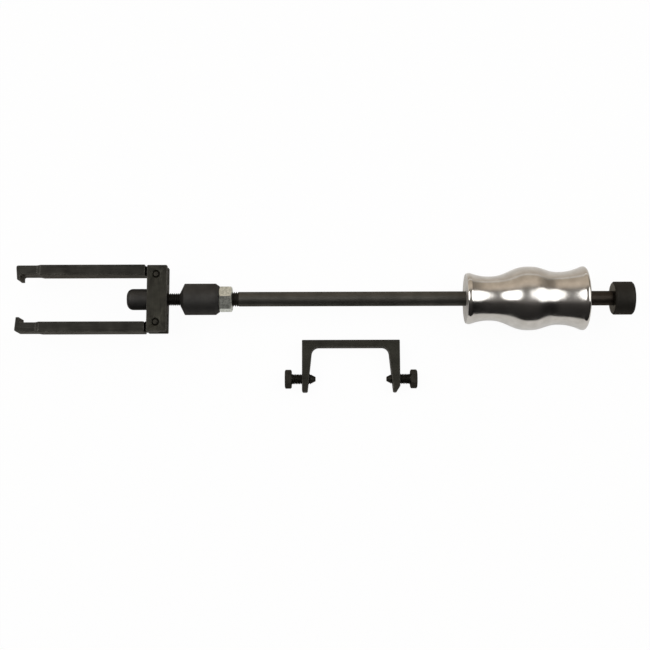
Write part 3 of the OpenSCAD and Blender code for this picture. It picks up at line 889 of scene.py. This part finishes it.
@dataclass
class Leg(Piece):
    """A hooked leg: flat bar with a slimmer end, a nose, and a thin tang whose eye turns on the pin."""

    pin: str = ""
    side: int = 1
    grip_reach: float = 128.8
    thickness: float = 9.8
    depth: float = 20.0
    pin_inset: float = 0.6
    shoulder: float = 10.7
    eye: float = 8.6
    tang: float = 8.0
    tip_length: float = 20.0
    ramp: float = 3.0
    # Width of the strips where the bar bends towards its slimmer end, paler as wear and as a painted
    # highlight on the bend
    wear_and_highlight: float = 0.35
    tip_relief: float = 0.5
    inner_relief: float = 0.6
    nose_height: float = 5.0
    nose_length: float = 3.2
    end_lean: float = 1.2
    nose_fillet: float = 1.4
    corner: float = 0.6
    tip_corner: float = 1.8
    edge: float = 0.5
    pin_clearance: float = 0.05
    segments: int = 64

    def build(self) -> bpy.types.Object:
        """Makes the bar and the tang about the pin, and puts both in their place."""
        local = Surface()
        self._bar(local)
        self._tang(local)
        low, high = box_mm(self.pin)
        move = np.array([1, self.side, self.side])
        local.points = [points * move + (low + high) / 2 for points in local.points]
        return self.finish_off(local, self.edge, (EDGE_WEAR_AND_HIGHLIGHT,))

    def _bar(self, surface: Surface) -> None:
        """Adds the bar: its outline with walls whose height falls over the ramp to the slimmer end.

        The bar's faces are flat between the bends at both ends of the ramp, and each bend is a narrow strip
        with the second finish, whose paler colour is wear and a painted highlight.

        Args:
            surface: Takes the patches.
        """
        inner, outer = -self.pin_inset, self.thickness - self.pin_inset
        reach = self.grip_reach + self.nose_length + self.end_lean
        ramp_front = reach - self.tip_length
        ramp_back = ramp_front - self.ramp
        bends = np.array([x + way * self.wear_and_highlight / 2 for x in (ramp_back, ramp_front) for way in (-1, 1)])
        slim = np.clip((bends - ramp_back) / self.ramp, 0, 1)
        tip_inner, tip_outer = inner + self.inner_relief, outer - self.tip_relief
        nose = tip_inner - self.nose_height
        corners = np.concatenate([
            [(-self.shoulder, inner), (-self.shoulder, outer)],
            np.stack([-bends, outer - self.tip_relief * slim], axis=1),
            [
                (-reach, tip_outer), (-self.grip_reach - self.nose_length, nose), (-self.grip_reach, nose),
                (-self.grip_reach, tip_inner),
            ],
            np.stack([-bends, inner + self.inner_relief * slim], axis=1)[::-1],
        ])
        soft, sharp = self.corner, [0.0] * len(bends)
        radii = np.array([soft, soft, *sharp, self.tip_corner, soft, soft, self.nose_fillet, *sharp])
        outline = round_corners(corners, radii, closed=True)
        along = -outline[:, 0]
        half = self.depth / 2 - self.tip_relief * np.clip((along - ramp_back) / self.ramp, 0, 1)
        surface.grid(np.stack([lift(outline, -half), lift(outline, half)]), wrap=True)
        ends = [-math.inf, *bends, math.inf]
        for way in (-1, 1):
            cap = lift(outline, way * half)
            for strip, (near, far) in enumerate(zip(ends, ends[1:])):
                # Odd strips are the bends, in the paler edge finish: wear, and a painted highlight on the
                # bend
                surface.flat(cap[(along > near - HAIR) & (along < far + HAIR)], finish=strip % 2)

    def _tang(self, surface: Surface) -> None:
        """Adds the tang: the eye's circle with tangents to the bar, as thick as the yoke's slot allows.

        Args:
            surface: Takes the patches.
        """
        half = self.tang / 2
        over = self.corner + self.edge
        low, high = -self.pin_inset, min(self.eye, self.thickness - self.pin_inset)
        turn = np.linspace(-TURN / 4, TURN / 4, self.segments // 2 + 1)
        eye = self.eye * np.stack([np.cos(turn), np.sin(turn)], axis=1)
        outline = np.concatenate([
            [(-self.shoulder - over, low), (-self.shoulder, low)], eye, [(-self.shoulder - over, high)],
        ])
        pin_low, pin_high = box_mm(self.pin)
        hole = circle((0, 0), (pin_high[0] - pin_low[0]) / 2 + self.pin_clearance, self.segments)
        for z in (-half, half):
            surface.flat_with_hole(lift(outline, z), lift(hole, z), (0, 1))
        for loop in (outline, hole):
            surface.grid(np.stack([lift(loop, -half), lift(loop, half)]), wrap=True)


@dataclass
class Turned(Piece):
    """A piece turned on the tool's axis from one profile, whose corners the tool leaves slightly round."""

    # The finish of its faces square to the axis, where it differs
    faced: Finish | None = None
    segments: int = 128
    steps: int = 6

    def corners(self) -> list[tuple[float, float, float]]:
        """Corners of the profile in order: a length along the axis, a radius, and the rounding there."""
        raise NotImplementedError

    def build(self) -> bpy.types.Object:
        """Carries the rounded profile round the axis, one ring after the other."""
        surface, line = Surface(), tool_axis(self.node)
        corners = np.array(self.corners(), dtype=float)
        profile = round_corners(corners[:, :2], corners[:, 2], closed=False, steps=self.steps)
        square = np.isclose(np.diff(profile[:, 0]), 0) & (self.faced is not None)
        for near, far, is_square in zip(profile, profile[1:], square):
            revolve(surface, line, np.stack([near, far]), self.segments, finish=int(is_square))
        return self.finish_off(surface, others=() if self.faced is None else (self.faced,))


@dataclass
class ThrustCap(Turned):
    """The cap: a well rounded front, and a blind bore with a groove for the ring that holds it."""

    radius: float = 10.1
    length: float = 19.5
    front_round: float = 5.5
    back_round: float = 0.5
    bore: float = 4.05
    bore_round: float = 0.3
    floor: float = 4.0
    groove: float = 4.7
    groove_from: float = 15.2
    groove_to: float = 16.6

    def corners(self) -> list[tuple[float, float, float]]:
        """From the middle of the front over the outside and through the bore to its floor."""
        return [
            (0, 0, 0), (0, self.radius, self.front_round), (self.length, self.radius, self.back_round),
            (self.length, self.bore, self.bore_round), (self.groove_to, self.bore, 0),
            (self.groove_to, self.groove, 0), (self.groove_from, self.groove, 0),
            (self.groove_from, self.bore, 0), (self.floor, self.bore, 0), (self.floor, 0, 0),
        ]


@dataclass
class Coupling(Turned):
    """The coupling: a steep cone in front, a chamfer behind, and a blind threaded hole in each end."""

    radius: float = 15.0
    length: float = 37.2
    # The small end of the cone, and the cone's length
    nose: float = 6.6
    cone: float = 4.2
    back: float = 12.4
    back_chamfer: float = 3.6
    spindle_hole: float = 6.02
    spindle_depth: float = 15.0
    rod_hole: float = 7.02
    rod_depth: float = 20.0
    nose_round: float = 0.1
    body_round: float = 0.5
    back_round: float = 0.3

    def corners(self) -> list[tuple[float, float, float]]:
        """From the floor of the spindle's hole over the outside to the floor of the rod's hole."""
        end, rod_floor = self.length, self.length - self.rod_depth
        return [
            (self.spindle_depth, 0, 0), (self.spindle_depth, self.spindle_hole, 0),
            (0, self.spindle_hole, self.nose_round), (0, self.nose, self.nose_round),
            (self.cone, self.radius, self.body_round),
            (end - self.back_chamfer, self.radius, self.body_round),
            (end, self.back, self.back_round), (end, self.rod_hole, self.back_round),
            (rod_floor, self.rod_hole, 0), (rod_floor, 0, 0),
        ]


@dataclass
class EndStop(Turned):
    """The stop: a thick disc with chamfered edges, and the rod's rear thread through it."""

    radius: float = 15.8
    length: float = 19.2
    chamfer: float = 1.2
    bore: float = 6.02
    edge_round: float = 0.4
    bore_round: float = 0.3

    def corners(self) -> list[tuple[float, float, float]]:
        """From the bore's front edge over the outside to its back edge, and back through the bore."""
        face, soft, end = self.radius - self.chamfer, self.edge_round, self.length
        return [
            (0, self.bore, 0), (0, face, soft), (self.chamfer, self.radius, soft),
            (end - self.chamfer, self.radius, soft), (end, face, soft), (end, self.bore, self.bore_round),
            (0, self.bore, 0),
        ]


@dataclass
class Spindle(Piece):
    """The spindle: a plain nose with a groove for its ring, and one thread from there into the coupling."""

    journal: float = 4.0
    groove: float = 3.3
    groove_width: float = 1.4
    groove_at: float = 5.3
    thread_from: float = 8.9
    pitch: float = 1.75
    chamfer: float = 0.4
    segments: int = 72

    def build(self) -> bpy.types.Object:
        """Turns the nose and cuts the thread."""
        surface = Surface()
        line, length = tool_axis(self.node), length_of(self.node)
        low, high = box_mm(self.node)
        thread = Thread(self.thread_from, length, float(high[1] - low[1]) / 2, self.pitch)
        near, far = self.groove_at, self.groove_at + self.groove_width
        nose = np.array([
            (0, 0), (0, self.journal - self.chamfer), (self.chamfer, self.journal), (near, self.journal),
            (near, self.groove), (far, self.groove), (far, self.journal), (self.thread_from, self.journal),
            (self.thread_from, thread.root),
        ])
        revolve(surface, line, nose, self.segments)
        thread.cut(surface, line, self.segments)
        revolve(surface, line, np.array([(length, thread.root), (length, 0)]), self.segments)
        return self.finish_off(surface)


@dataclass
class SlideRod(Piece):
    """The rod: a thread in front, a plain length that the weight slides on, and a thinner thread behind."""

    front_thread: float = 38.0
    pitch: float = 2.0
    tail_radius: float = 6.0
    tail_pitch: float = 1.75
    tail_length: float = 19.3
    # Chamfer of the shoulder that the stop seats on
    shoulder: float = 0.5
    # Length in front of the tail that is coloured as painted shade of the weight and the stop
    painted_shade: float = 60.0
    segments: int = 96

    def build(self) -> bpy.types.Object:
        """Cuts both threads and turns the plain length between them."""
        surface = Surface()
        line, length = tool_axis(self.node), length_of(self.node)
        low, high = box_mm(self.node)
        radius = float(high[1] - low[1]) / 2
        front = Thread(0, self.front_thread, radius, self.pitch, last=ThreadEnd.RUN_OUT)
        tail = Thread(length - self.tail_length, length, self.tail_radius, self.tail_pitch)
        revolve(surface, line, np.array([(0, 0), (0, front.root)]), self.segments)
        front.cut(surface, line, self.segments, finish=1)
        # Painted shade: the last stretch before the tail takes the darker, browner rod colour
        painted_shade_from = tail.start - self.painted_shade
        revolve(surface, line, np.array([(self.front_thread, radius), (painted_shade_from, radius)]), self.segments)
        painted_shade = np.array([
            (painted_shade_from, radius), (tail.start - self.shoulder, radius), (tail.start, radius - self.shoulder),
            (tail.start, tail.root),
        ])
        revolve(surface, line, painted_shade, self.segments, finish=2)
        tail.cut(surface, line, self.segments, finish=1)
        revolve(surface, line, np.array([(length, tail.root), (length, 0)]), self.segments)
        return self.finish_off(surface, others=(CUT_THREAD, ROD_PAINTED_SHADE))


@dataclass
class LockNut(Piece):
    """The hexagon nut that locks the rod in the coupling."""

    flats: float = 22.0
    first_flat: float = math.radians(54.0)
    bore: float = 7.02

    def build(self) -> bpy.types.Object:
        """Closes the hexagon's rings round the bore."""
        surface = Surface()
        bar = Hexagon(self.flats, length_of(self.node), self.first_flat)
        grid = tool_axis(self.node).place(*bar.rings(self.bore))
        surface.grid(np.concatenate([grid, grid[:1]]), wrap=True)
        return self.finish_off(surface)


@dataclass(frozen=True)
class Rim:
    """One end of the weight's grip: a crowned rim with a round edge at the end face."""

    # Radius of its highest ring, and how far that ring lies from the end face
    radius: float
    apex: float
    # Radii of the crown's arc and of the edge's, and points on each
    crown: float
    edge: float
    crown_points: int = 17
    edge_points: int = 13
    # First guess of the two leans, in radians, and how often they are found anew
    guess: float = 0.3
    rounds: int = 10

    def profile(self, waist: float, waist_radius: float, share: Array) -> tuple[Array, Array]:
        """Draws this end of the grip from its face inwards: a crowned rim, then the hollow down to the waist.

        The crown is an arc about the rim's highest ring. The hollow falls to the waist as the square of what
        is left of the way. The two lean alike where they meet, and so do the crown and the small arc at the
        face. Both leans are found by taking the slope at the last place again and again.

        Args:
            waist: Distance of the waist from the face.
            waist_radius: Radius of the waist.
            share: Shares of the hollow's way at which it has points.

        Returns:
            Rows of a distance from the face and a radius, for the rim and for the hollow.
        """
        lean = fall = self.guess
        for _ in range(self.rounds):
            meet, drop = self.apex + self.crown * math.sin(lean), self.crown * (1 - math.cos(lean))
            lean = math.atan(2 * (self.radius - drop - waist_radius) / (waist - meet))
            fall = math.asin((self.apex - self.edge * (1 - math.sin(fall))) / self.crown)
        turn = np.linspace(-fall, lean, self.crown_points)
        crown = np.stack([
            self.apex + self.crown * np.sin(turn), self.radius + self.crown * (np.cos(turn) - 1),
        ], axis=1)
        turn = np.linspace(-TURN / 4, -fall, self.edge_points)
        edge = np.stack([
            self.edge * (1 + np.sin(turn)), crown[0, 1] + self.edge * (np.cos(turn) - math.cos(fall)),
        ], axis=1)
        left = 1 - share
        hollow = np.stack([
            waist + (crown[-1, 0] - waist) * left, waist_radius + (crown[-1, 1] - waist_radius) * left**2,
        ], axis=1)
        return np.concatenate([edge[:-1], crown]), hollow


@dataclass
class HammerWeight(Piece):
    """The weight: collar, slim waist, belly, wide waist and guard, polished between its two faced ends."""

    collar: Rim = Rim(24.5, 3.0, 5.7, 0.8)
    waist: float = 21.05
    belly: float = 30.4
    back_waist: float = 25.2
    guard: Rim = Rim(30.5, 2.6, 6.5, 2.6)
    bore: float = 7.15
    bore_chamfer: float = 0.6
    waist_share: float = 0.188
    belly_share: float = 0.527
    back_waist_share: float = 0.777
    segments: int = 256
    steps: int = 40
    crease: float = math.radians(12)

    def build(self) -> bpy.types.Object:
        """Turns the grip: two crowned rims with a hollow behind each, and waves that ease in and out."""
        length = length_of(self.node)
        waist, belly, back = (s * length for s in (self.waist_share, self.belly_share, self.back_waist_share))
        share = np.linspace(0, 1, self.steps + 1)
        collar, front = self.collar.profile(waist, self.waist, share)
        guard, rear = (
            np.stack([length - rows[:, 0], rows[:, 1]], axis=1)[::-1]
            for rows in self.guard.profile(length - back, self.back_waist, share)
        )
        grip = np.concatenate([
            front,
            self._wave(waist, self.waist, belly, self.belly, share)[1:],
            self._wave(belly, self.belly, back, self.back_waist, share)[1:],
            rear[1:],
        ])
        cut, bore = self.bore_chamfer, self.bore
        hole = np.array([(length, bore + cut), (length - cut, bore), (cut, bore), (0, bore + cut)])
        surface, line = Surface(), tool_axis(self.node)
        front_face, back_face = np.stack([hole[-1], collar[0]]), np.stack([guard[-1], hole[0]])
        for profile, finish in (
            (front_face, 2), (collar, 1), (grip, 0), (guard, 1), (back_face, 2), (hole, 0),
        ):
            revolve(surface, line, profile, self.segments, finish)
        return self.finish_off(surface, others=(BUFFED, FACED))

    @staticmethod
    def _wave(z0: float, r0: float, z1: float, r1: float, share: Array) -> Array:
        """Draws a curve that is flat at both ends: r0 + (r1 - r0) times the smooth step of the way.

        Args:
            z0: Length at which it starts.
            r0: Radius there.
            z1: Length at which it ends.
            r1: Radius there.
            share: Shares of the way at which it has points.

        Returns:
            Rows of a length and a radius.
        """
        return np.stack([z0 + (z1 - z0) * share, r0 + (r1 - r0) * ease(share)], axis=1)


@dataclass
class ClampFrame(Piece):
    """The frame: a back with two arms that taper to their ends, and a threaded hole across each.

    The right arm is a little wider than the left one, and its outer end is cut off on a slant.
    """

    back: float = 6.8
    arm_root: float = 9.9
    arm_end: float = 5.4
    right_over: float = 1.1
    fillet: float = 7.0
    end_cut: float = 1.6
    slant: tuple[float, float] = (3.4, 5.4)
    corner: float = 0.8
    edge: float = 0.45
    screw_from_end: float = 12.7
    hole: float = 5.05
    segments: int = 48
    steps: int = 10

    def build(self) -> bpy.types.Object:
        """Makes the outline's faces and walls, with each arm's hole between its outer and inner wall."""
        (xa, ya, za), (xb, yb, zb) = box_mm(self.node)
        middle, half = (xa + xb) / 2, (xb - xa) / 2
        bar, over = yb - self.back, self.right_over
        width, length = self.slant
        corners = np.array([
            (half, yb), (half, ya + length), (half - width, ya), (half - self.arm_end - over, ya),
            (half - self.arm_root - over, bar), (self.arm_root - half, bar), (self.arm_end - half, ya),
            (-half, ya), (-half, yb),
        ])
        soft, cut, fillet = self.corner, self.end_cut, self.fillet
        radii = np.array([soft, soft, soft, cut, fillet, fillet, cut, cut, soft])
        outline = round_corners(corners, radii, closed=True, steps=self.steps)
        surface = Surface()
        points = outline + np.array([middle, 0])
        for z in (za, zb):
            surface.flat(lift(points, z))
        self._walls(surface, outline, middle, (float(za), float(zb)), float(ya) + self.screw_from_end)
        return self.finish_off(surface, self.edge, (EDGE_WEAR_AND_HIGHLIGHT,))

    def _walls(
        self, surface: Surface, outline: Array, middle: float, heights: tuple[float, float], hole_y: float
    ) -> None:
        """Adds the walls, of which the four long ones along the arms have a hole.

        Args:
            surface: Takes the patches.
            outline: The frame's outline about its middle.
            middle: Where that middle lies along X.
            heights: The underside and the top.
            hole_y: Where the screws' axis lies along Y.
        """
        low, high = heights
        ahead = np.roll(outline, -1, axis=0)
        crosses = (outline[:, 1] - hole_y) * (ahead[:, 1] - hole_y) < 0
        shift = np.array([middle, 0])
        for first, last in zip(outline[~crosses], ahead[~crosses]):
            wall = np.stack([first, last]) + shift
            surface.flat(np.concatenate([lift(wall, low), lift(wall[::-1], high)]))
        ring = circle((hole_y, (low + high) / 2), self.hole, self.segments)
        rims: dict[int, list[Array]] = {-1: [], 1: []}
        for first, last in zip(outline[crosses], ahead[crosses]):
            if first[1] > last[1]:
                first, last = last, first
            share = (ring[:, 0] - first[1]) / (last[1] - first[1])
            rim = np.column_stack([middle + first[0] + share * (last[0] - first[0]), ring])
            ends = np.stack([first, last]) + shift
            rect = np.concatenate([lift(ends, low), lift(ends[::-1], high)])
            surface.flat_with_hole(rect, rim, (1, 2))
            rims[1 if first[0] > 0 else -1].append(rim)
        for pair in rims.values():
            surface.grid(np.stack(pair), wrap=True)


@dataclass
class ClampScrew(Piece):
    """A screw with a hexagon head, a full thread and a cone point."""

    way: float = 1.0
    head: float = 6.6
    flats: float = 16.0
    radius: float = 5.0
    pitch: float = 1.5
    point: float = 4.0
    point_radius: float = 2.0
    point_chamfer: float = 0.2
    # How far the shank starts inside the head
    sunk: float = 1.0
    segments: int = 72

    def build(self) -> bpy.types.Object:
        """Makes the head, then the thread and its point from the underside of the head."""
        surface = Surface()
        line, length = self._axis(), length_of(self.node)
        along, radius, turn = Hexagon(self.flats, self.head, TURN / 4).rings(bore=0.0)
        surface.grid(line.place(self.head - along, radius, turn), wrap=True)
        cone = length - self.point
        thread = Thread(self.head, cone, self.radius, self.pitch, first=ThreadEnd.RUN_OUT)
        inside = self.head - self.sunk
        neck = np.array([(inside, 0), (inside, self.radius), (self.head, self.radius)])
        revolve(surface, line, neck, self.segments)
        thread.cut(surface, line, self.segments)
        soft = self.point_chamfer
        tip = np.array([
            (cone, thread.root), (length - soft, self.point_radius + soft), (length, self.point_radius),
            (length, 0),
        ])
        revolve(surface, line, tip, self.segments)
        return self.finish_off(surface)

    def _axis(self) -> Line:
        """The screw's axis, at the middle of the frame's height, from the head's outer face."""
        low, high = box_mm(self.node)
        frame_low, frame_high = box_mm("clamp_frame")
        x = low[0] if self.way > 0 else high[0]
        y, z = (low[1] + high[1]) / 2, (frame_low[2] + frame_high[2]) / 2
        return Line(float(x), float(y), float(z), self.way)


@dataclass
class LegPin(Piece):
    """The hinge pin of a leg, with a chamfer at both ends."""

    chamfer: float = 0.9
    soft: float = 0.15
    segments: int = 64

    def build(self) -> bpy.types.Object:
        """Carries the pin's profile round its own upright axis."""
        low, high = box_mm(self.node)
        (x, y, _), r = (low + high) / 2, float(high[0] - low[0]) / 2
        cut = self.chamfer
        corners = np.array([
            (low[2], 0), (low[2], r - cut), (low[2] + cut, r),
            (high[2] - cut, r), (high[2], r - cut), (high[2], 0),
        ])
        profile = round_corners(corners, np.array([0, *[self.soft] * 4, 0]), closed=False)
        turn = np.arange(self.segments) * TURN / self.segments
        z, radius = profile[:, :1], profile[:, 1:]
        grid = np.stack(np.broadcast_arrays(x + radius * np.cos(turn), y + radius * np.sin(turn), z), axis=-1)
        surface = Surface()
        surface.grid(grid, wrap=True)
        return self.finish_off(surface)


# Studio


@dataclass(frozen=True)
class Lamp:
    """A soft oval lamp that hangs level over the table: its ends along X and Y in metres."""

    left: float
    right: float
    low: float
    high: float
    # Brightness of its surface, where 1 is the table's white
    radiance: float


@dataclass(frozen=True)
class Studio:
    """The table, the lamps and the camera."""

    # The photo's view: almost straight down from the lower side
    elevation: float = 81.5
    distance: float = 1.1133
    lens: float = 64.8
    sensor: float = 36.0
    roll: float = 0.17
    # The nearest and the farthest that the camera sees, in metres
    near: float = 0.01
    far: float = 60.0
    # Where the lens looks, at the height of the tool's axis, in metres
    aim_x: float = 0.0
    aim_y: float = 0.0024
    # Share of the table's brightness that is its own: seen directly, where it leaves only a light shadow,
    # and seen in a mirror close by
    glow: float = 0.965
    mirrored_glow: float = 0.35
    # In a mirror the table fades into the room's lowest colour, from this distance along Y in metres
    fade_from: float = 0.06
    horizon: str = "CFC3B3"
    # The table ends close to the camera's side and reaches far the other ways, just under the object
    table_size: float = 14.0
    table_front: float = -0.36
    table_top: float = -0.0001
    table_colour: str = "F8F8F7"
    lamp_height: float = 1.5
    lamps: tuple[Lamp, ...] = (Lamp(-2.0, -0.42, -0.44, 0.80, 3.3), Lamp(0.36, 2.9, -0.62, 1.02, 2.4))
    # The room's colours from the bottom of the view, at 0, towards its top, at 1
    room: tuple[tuple[float, str], ...] = (
        (0.00, "302F2F"), (0.12, "2E2D2D"), (0.22, "464443"), (0.28, "625F5E"), (0.36, "8E8B89"),
        (0.50, "959391"), (0.70, "8C8985"), (0.76, "AAA299"), (0.82, "DED2C4"), (0.90, "EADBC9"),
    )
    # Leans towards the right between which the room gets dimmer, and what is left of it there
    dims_from: float = 0.3
    dims_to: float = 0.62
    dimmed: float = 0.35

    def build(self) -> None:
        """Sets up the table, the lamps, the surroundings and the camera."""
        self._table()
        for lamp in self.lamps:
            self._hang(lamp)
        self._surroundings()
        self._camera()
        bpy.context.scene.view_settings.view_transform = "Standard"

    def _table(self) -> None:
        """Lays the table's surface.

        In a mirror its colour fades with the distance along Y as 1 - fade_from / distance.
        """
        half, front, top = self.table_size / 2, self.table_front, self.table_top
        corners = [(-half, front, top), (half, front, top), (half, half, top), (-half, half, top)]
        mesh = bpy.data.meshes.new("table")
        mesh.from_pydata(corners, [], [(0, 1, 2, 3)])
        table = bpy.data.objects.new("table", mesh)
        bpy.context.scene.collection.objects.link(table)
        made, tree, output = empty_material("white_table")
        paper = add(tree, "ShaderNodeBsdfDiffuse", sockets={"Color": linear(self.table_colour)})
        place = add(tree, "ShaderNodeTexCoord").outputs["Object"]
        aside = add(tree, "ShaderNodeSeparateXYZ", sockets={0: place}).outputs["Y"]
        far = add(tree, "ShaderNodeMath", {"operation": "MAXIMUM"}, {0: aside, 1: self.fade_from}).outputs[0]
        near = add(tree, "ShaderNodeMath", {"operation": "DIVIDE"}, {0: self.fade_from, 1: far}).outputs[0]
        faded = add(tree, "ShaderNodeMath", {"operation": "SUBTRACT"}, {0: 1.0, 1: near}).outputs[0]
        mirrored = add(
            tree, "ShaderNodeMapRange", sockets={0: faded, 3: self.mirrored_glow, 4: 1.0}
        ).outputs[0]
        path = add(tree, "ShaderNodeLightPath")
        faded = add(
            tree, "ShaderNodeMath", {"operation": "MULTIPLY"}, {0: faded, 1: path.outputs["Is Glossy Ray"]}
        ).outputs[0]
        colour = add(tree, "ShaderNodeMix", {"data_type": "RGBA"}, {
            0: faded, 6: (1, 1, 1, 1), 7: linear(self.horizon),
        }).outputs[2]
        white = add(tree, "ShaderNodeEmission", sockets={"Color": colour, "Strength": 1.0})
        seen = add(tree, "ShaderNodeMath", {"operation": "MAXIMUM"}, {
            0: path.outputs["Is Camera Ray"], 1: path.outputs["Is Transmission Ray"],
        }).outputs[0]
        own = add(tree, "ShaderNodeMath", {"operation": "MULTIPLY"}, {0: seen, 1: self.glow}).outputs[0]
        share = add(tree, "ShaderNodeMath", {"operation": "MULTIPLY_ADD"}, {
            0: path.outputs["Is Glossy Ray"], 1: mirrored, 2: own,
        }).outputs[0]
        mix = add(tree, "ShaderNodeMixShader", sockets={0: share, 1: paper.outputs[0], 2: white.outputs[0]})
        tree.links.new(mix.outputs[0], output.inputs[0])
        mesh.materials.append(made)

    def _hang(self, lamp: Lamp) -> None:
        """Hangs one soft lamp over the table, facing down.

        Its power is its radiance times pi times the oval's area, which is a quarter of pi times both sizes.

        Args:
            lamp: Its place.
        """
        data = bpy.data.lights.new("soft_lamp", "AREA")
        data.shape = "ELLIPSE"
        data.size = lamp.right - lamp.left
        data.size_y = lamp.high - lamp.low
        data.energy = lamp.radiance * math.pi * (math.pi / 4 * data.size * data.size_y)
        made = bpy.data.objects.new("soft_lamp", data)
        made.location = ((lamp.left + lamp.right) / 2, (lamp.low + lamp.high) / 2, self.lamp_height)
        bpy.context.scene.collection.objects.link(made)

    def _surroundings(self) -> None:
        """Colours the room by how far a direction leans towards the top or the bottom of the view.

        The lean is y over the length of (y, z), and runs from 0 to 1 over the list of colours. The room is
        warm and pale towards the top of the view, grey overhead between the lamps, and dark towards the
        camera's side. Towards the right it is dimmer.
        """
        world = bpy.data.worlds.new("room")
        bpy.context.scene.world = world
        world.use_nodes = True
        tree = world.node_tree
        tree.nodes.clear()
        towards = add(tree, "ShaderNodeTexCoord").outputs["Generated"]
        split = add(tree, "ShaderNodeSeparateXYZ", sockets={0: towards})
        flat = add(tree, "ShaderNodeCombineXYZ", sockets={1: split.outputs["Y"], 2: split.outputs["Z"]})
        whole = add(tree, "ShaderNodeVectorMath", {"operation": "NORMALIZE"}, {0: flat.outputs[0]})
        lean = add(tree, "ShaderNodeSeparateXYZ", sockets={0: whole.outputs[0]}).outputs["Y"]
        share = add(tree, "ShaderNodeMapRange", sockets={0: lean, 1: -1.0, 2: 1.0}).outputs[0]
        ramp = add(tree, "ShaderNodeValToRGB", sockets={0: share})
        stops = (*self.room, (1.0, self.horizon))
        elements = ramp.color_ramp.elements
        for (position, colour), element in zip(stops, [*elements, *(elements.new(0.5) for _ in stops[2:])]):
            element.position = position
            element.color = linear(colour)
        dimmer = add(tree, "ShaderNodeMapRange", sockets={
            0: split.outputs["X"], 1: self.dims_from, 2: self.dims_to, 3: 1.0, 4: self.dimmed,
        }).outputs[0]
        room = add(tree, "ShaderNodeBackground", sockets={"Color": ramp.outputs[0], "Strength": dimmer})
        white = add(tree, "ShaderNodeBackground", sockets={"Color": (1, 1, 1, 1), "Strength": 1.0})
        path = add(tree, "ShaderNodeLightPath")
        mix = add(tree, "ShaderNodeMixShader", sockets={
            0: path.outputs["Is Camera Ray"], 1: room.outputs[0], 2: white.outputs[0],
        })
        output = add(tree, "ShaderNodeOutputWorld")
        tree.links.new(mix.outputs[0], output.inputs[0])

    def _camera(self) -> None:
        """Puts the camera where the photo was taken from, with its slight roll."""
        data = bpy.data.cameras.new("camera")
        data.lens = self.lens
        data.sensor_width = self.sensor
        data.clip_start, data.clip_end = self.near, self.far
        camera = bpy.data.objects.new("camera", data)
        lean = math.radians(self.elevation)
        back = Vector((0.0, -math.cos(lean), math.sin(lean)))
        aim = Vector((self.aim_x, self.aim_y, tool_axis("slide_rod").z * MM))
        camera.location = aim + back * self.distance
        camera.rotation_mode = "QUATERNION"
        straight = (-back).to_track_quat("-Z", "Y")
        camera.rotation_quaternion = straight @ Quaternion((0, 0, 1), -math.radians(self.roll))
        bpy.context.scene.collection.objects.link(camera)
        bpy.context.scene.camera = camera


def parts() -> list[Piece]:
    """Every piece of the puller and its clamp frame, in the order in which they are put together."""
    black = Slot.BLACK
    return [
        Yoke("yoke_block", "yoke", "yoke", black, MILLED_YOKE),
        LegPin("upper_hinge_pin", "upper_leg_pin", "yoke", black, FORGED_HEAD),
        LegPin("lower_hinge_pin", "lower_leg_pin", "yoke", black, FORGED_HEAD),
        Leg("upper_hooked_leg", "upper_leg", "upper_leg", black, MILLED_BAR, pin="upper_leg_pin", side=1),
        Leg("lower_hooked_leg", "lower_leg", "lower_leg", black, MILLED_BAR, pin="lower_leg_pin", side=-1),
        ThrustCap("swivel_cap", "thrust_cap", "thrust_cap", black, TURNED_BLACK),
        Spindle("threaded_spindle", "spindle", "spindle", black, ROLLED_THREAD),
        Coupling("rod_coupling", "coupling", "spindle", black, TURNED_BLACK),
        LockNut("hexagon_lock_nut", "lock_nut", "spindle", Slot.ZINC, ZINC),
        SlideRod("hammer_rod", "slide_rod", "spindle", black, DRAWN_ROD),
        HammerWeight("sliding_weight", "hammer_weight", "hammer_weight", Slot.POLISHED, POLISHED),
        EndStop("rod_stop", "end_stop", "spindle", black, TURNED_STOP, faced=FACED_STOP),
        ClampFrame("leg_clamp_frame", "clamp_frame", "clamp_frame", black, MILLED_FRAME),
        ClampScrew("left_screw", "left_clamp_screw", "left_clamp_screw", black, FORGED_HEAD, way=1.0),
        ClampScrew("right_screw", "right_clamp_screw", "right_clamp_screw", black, FORGED_HEAD, way=-1.0),
    ]


def main() -> None:
    """Builds every piece, dresses the nodes that stay, and sets up the studio."""
    logging.basicConfig(level=logging.INFO, format="%(message)s")
    for piece in parts():
        piece.build()
    for node in ("cap_ring", "thrust_ball"):
        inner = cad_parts[node]
        inner.data.materials.clear()
        inner.data.materials.append(GROUND.material())
        log.info("%s: kept as packed", node)
    Studio().build()


if __name__ == "__main__":
    main()
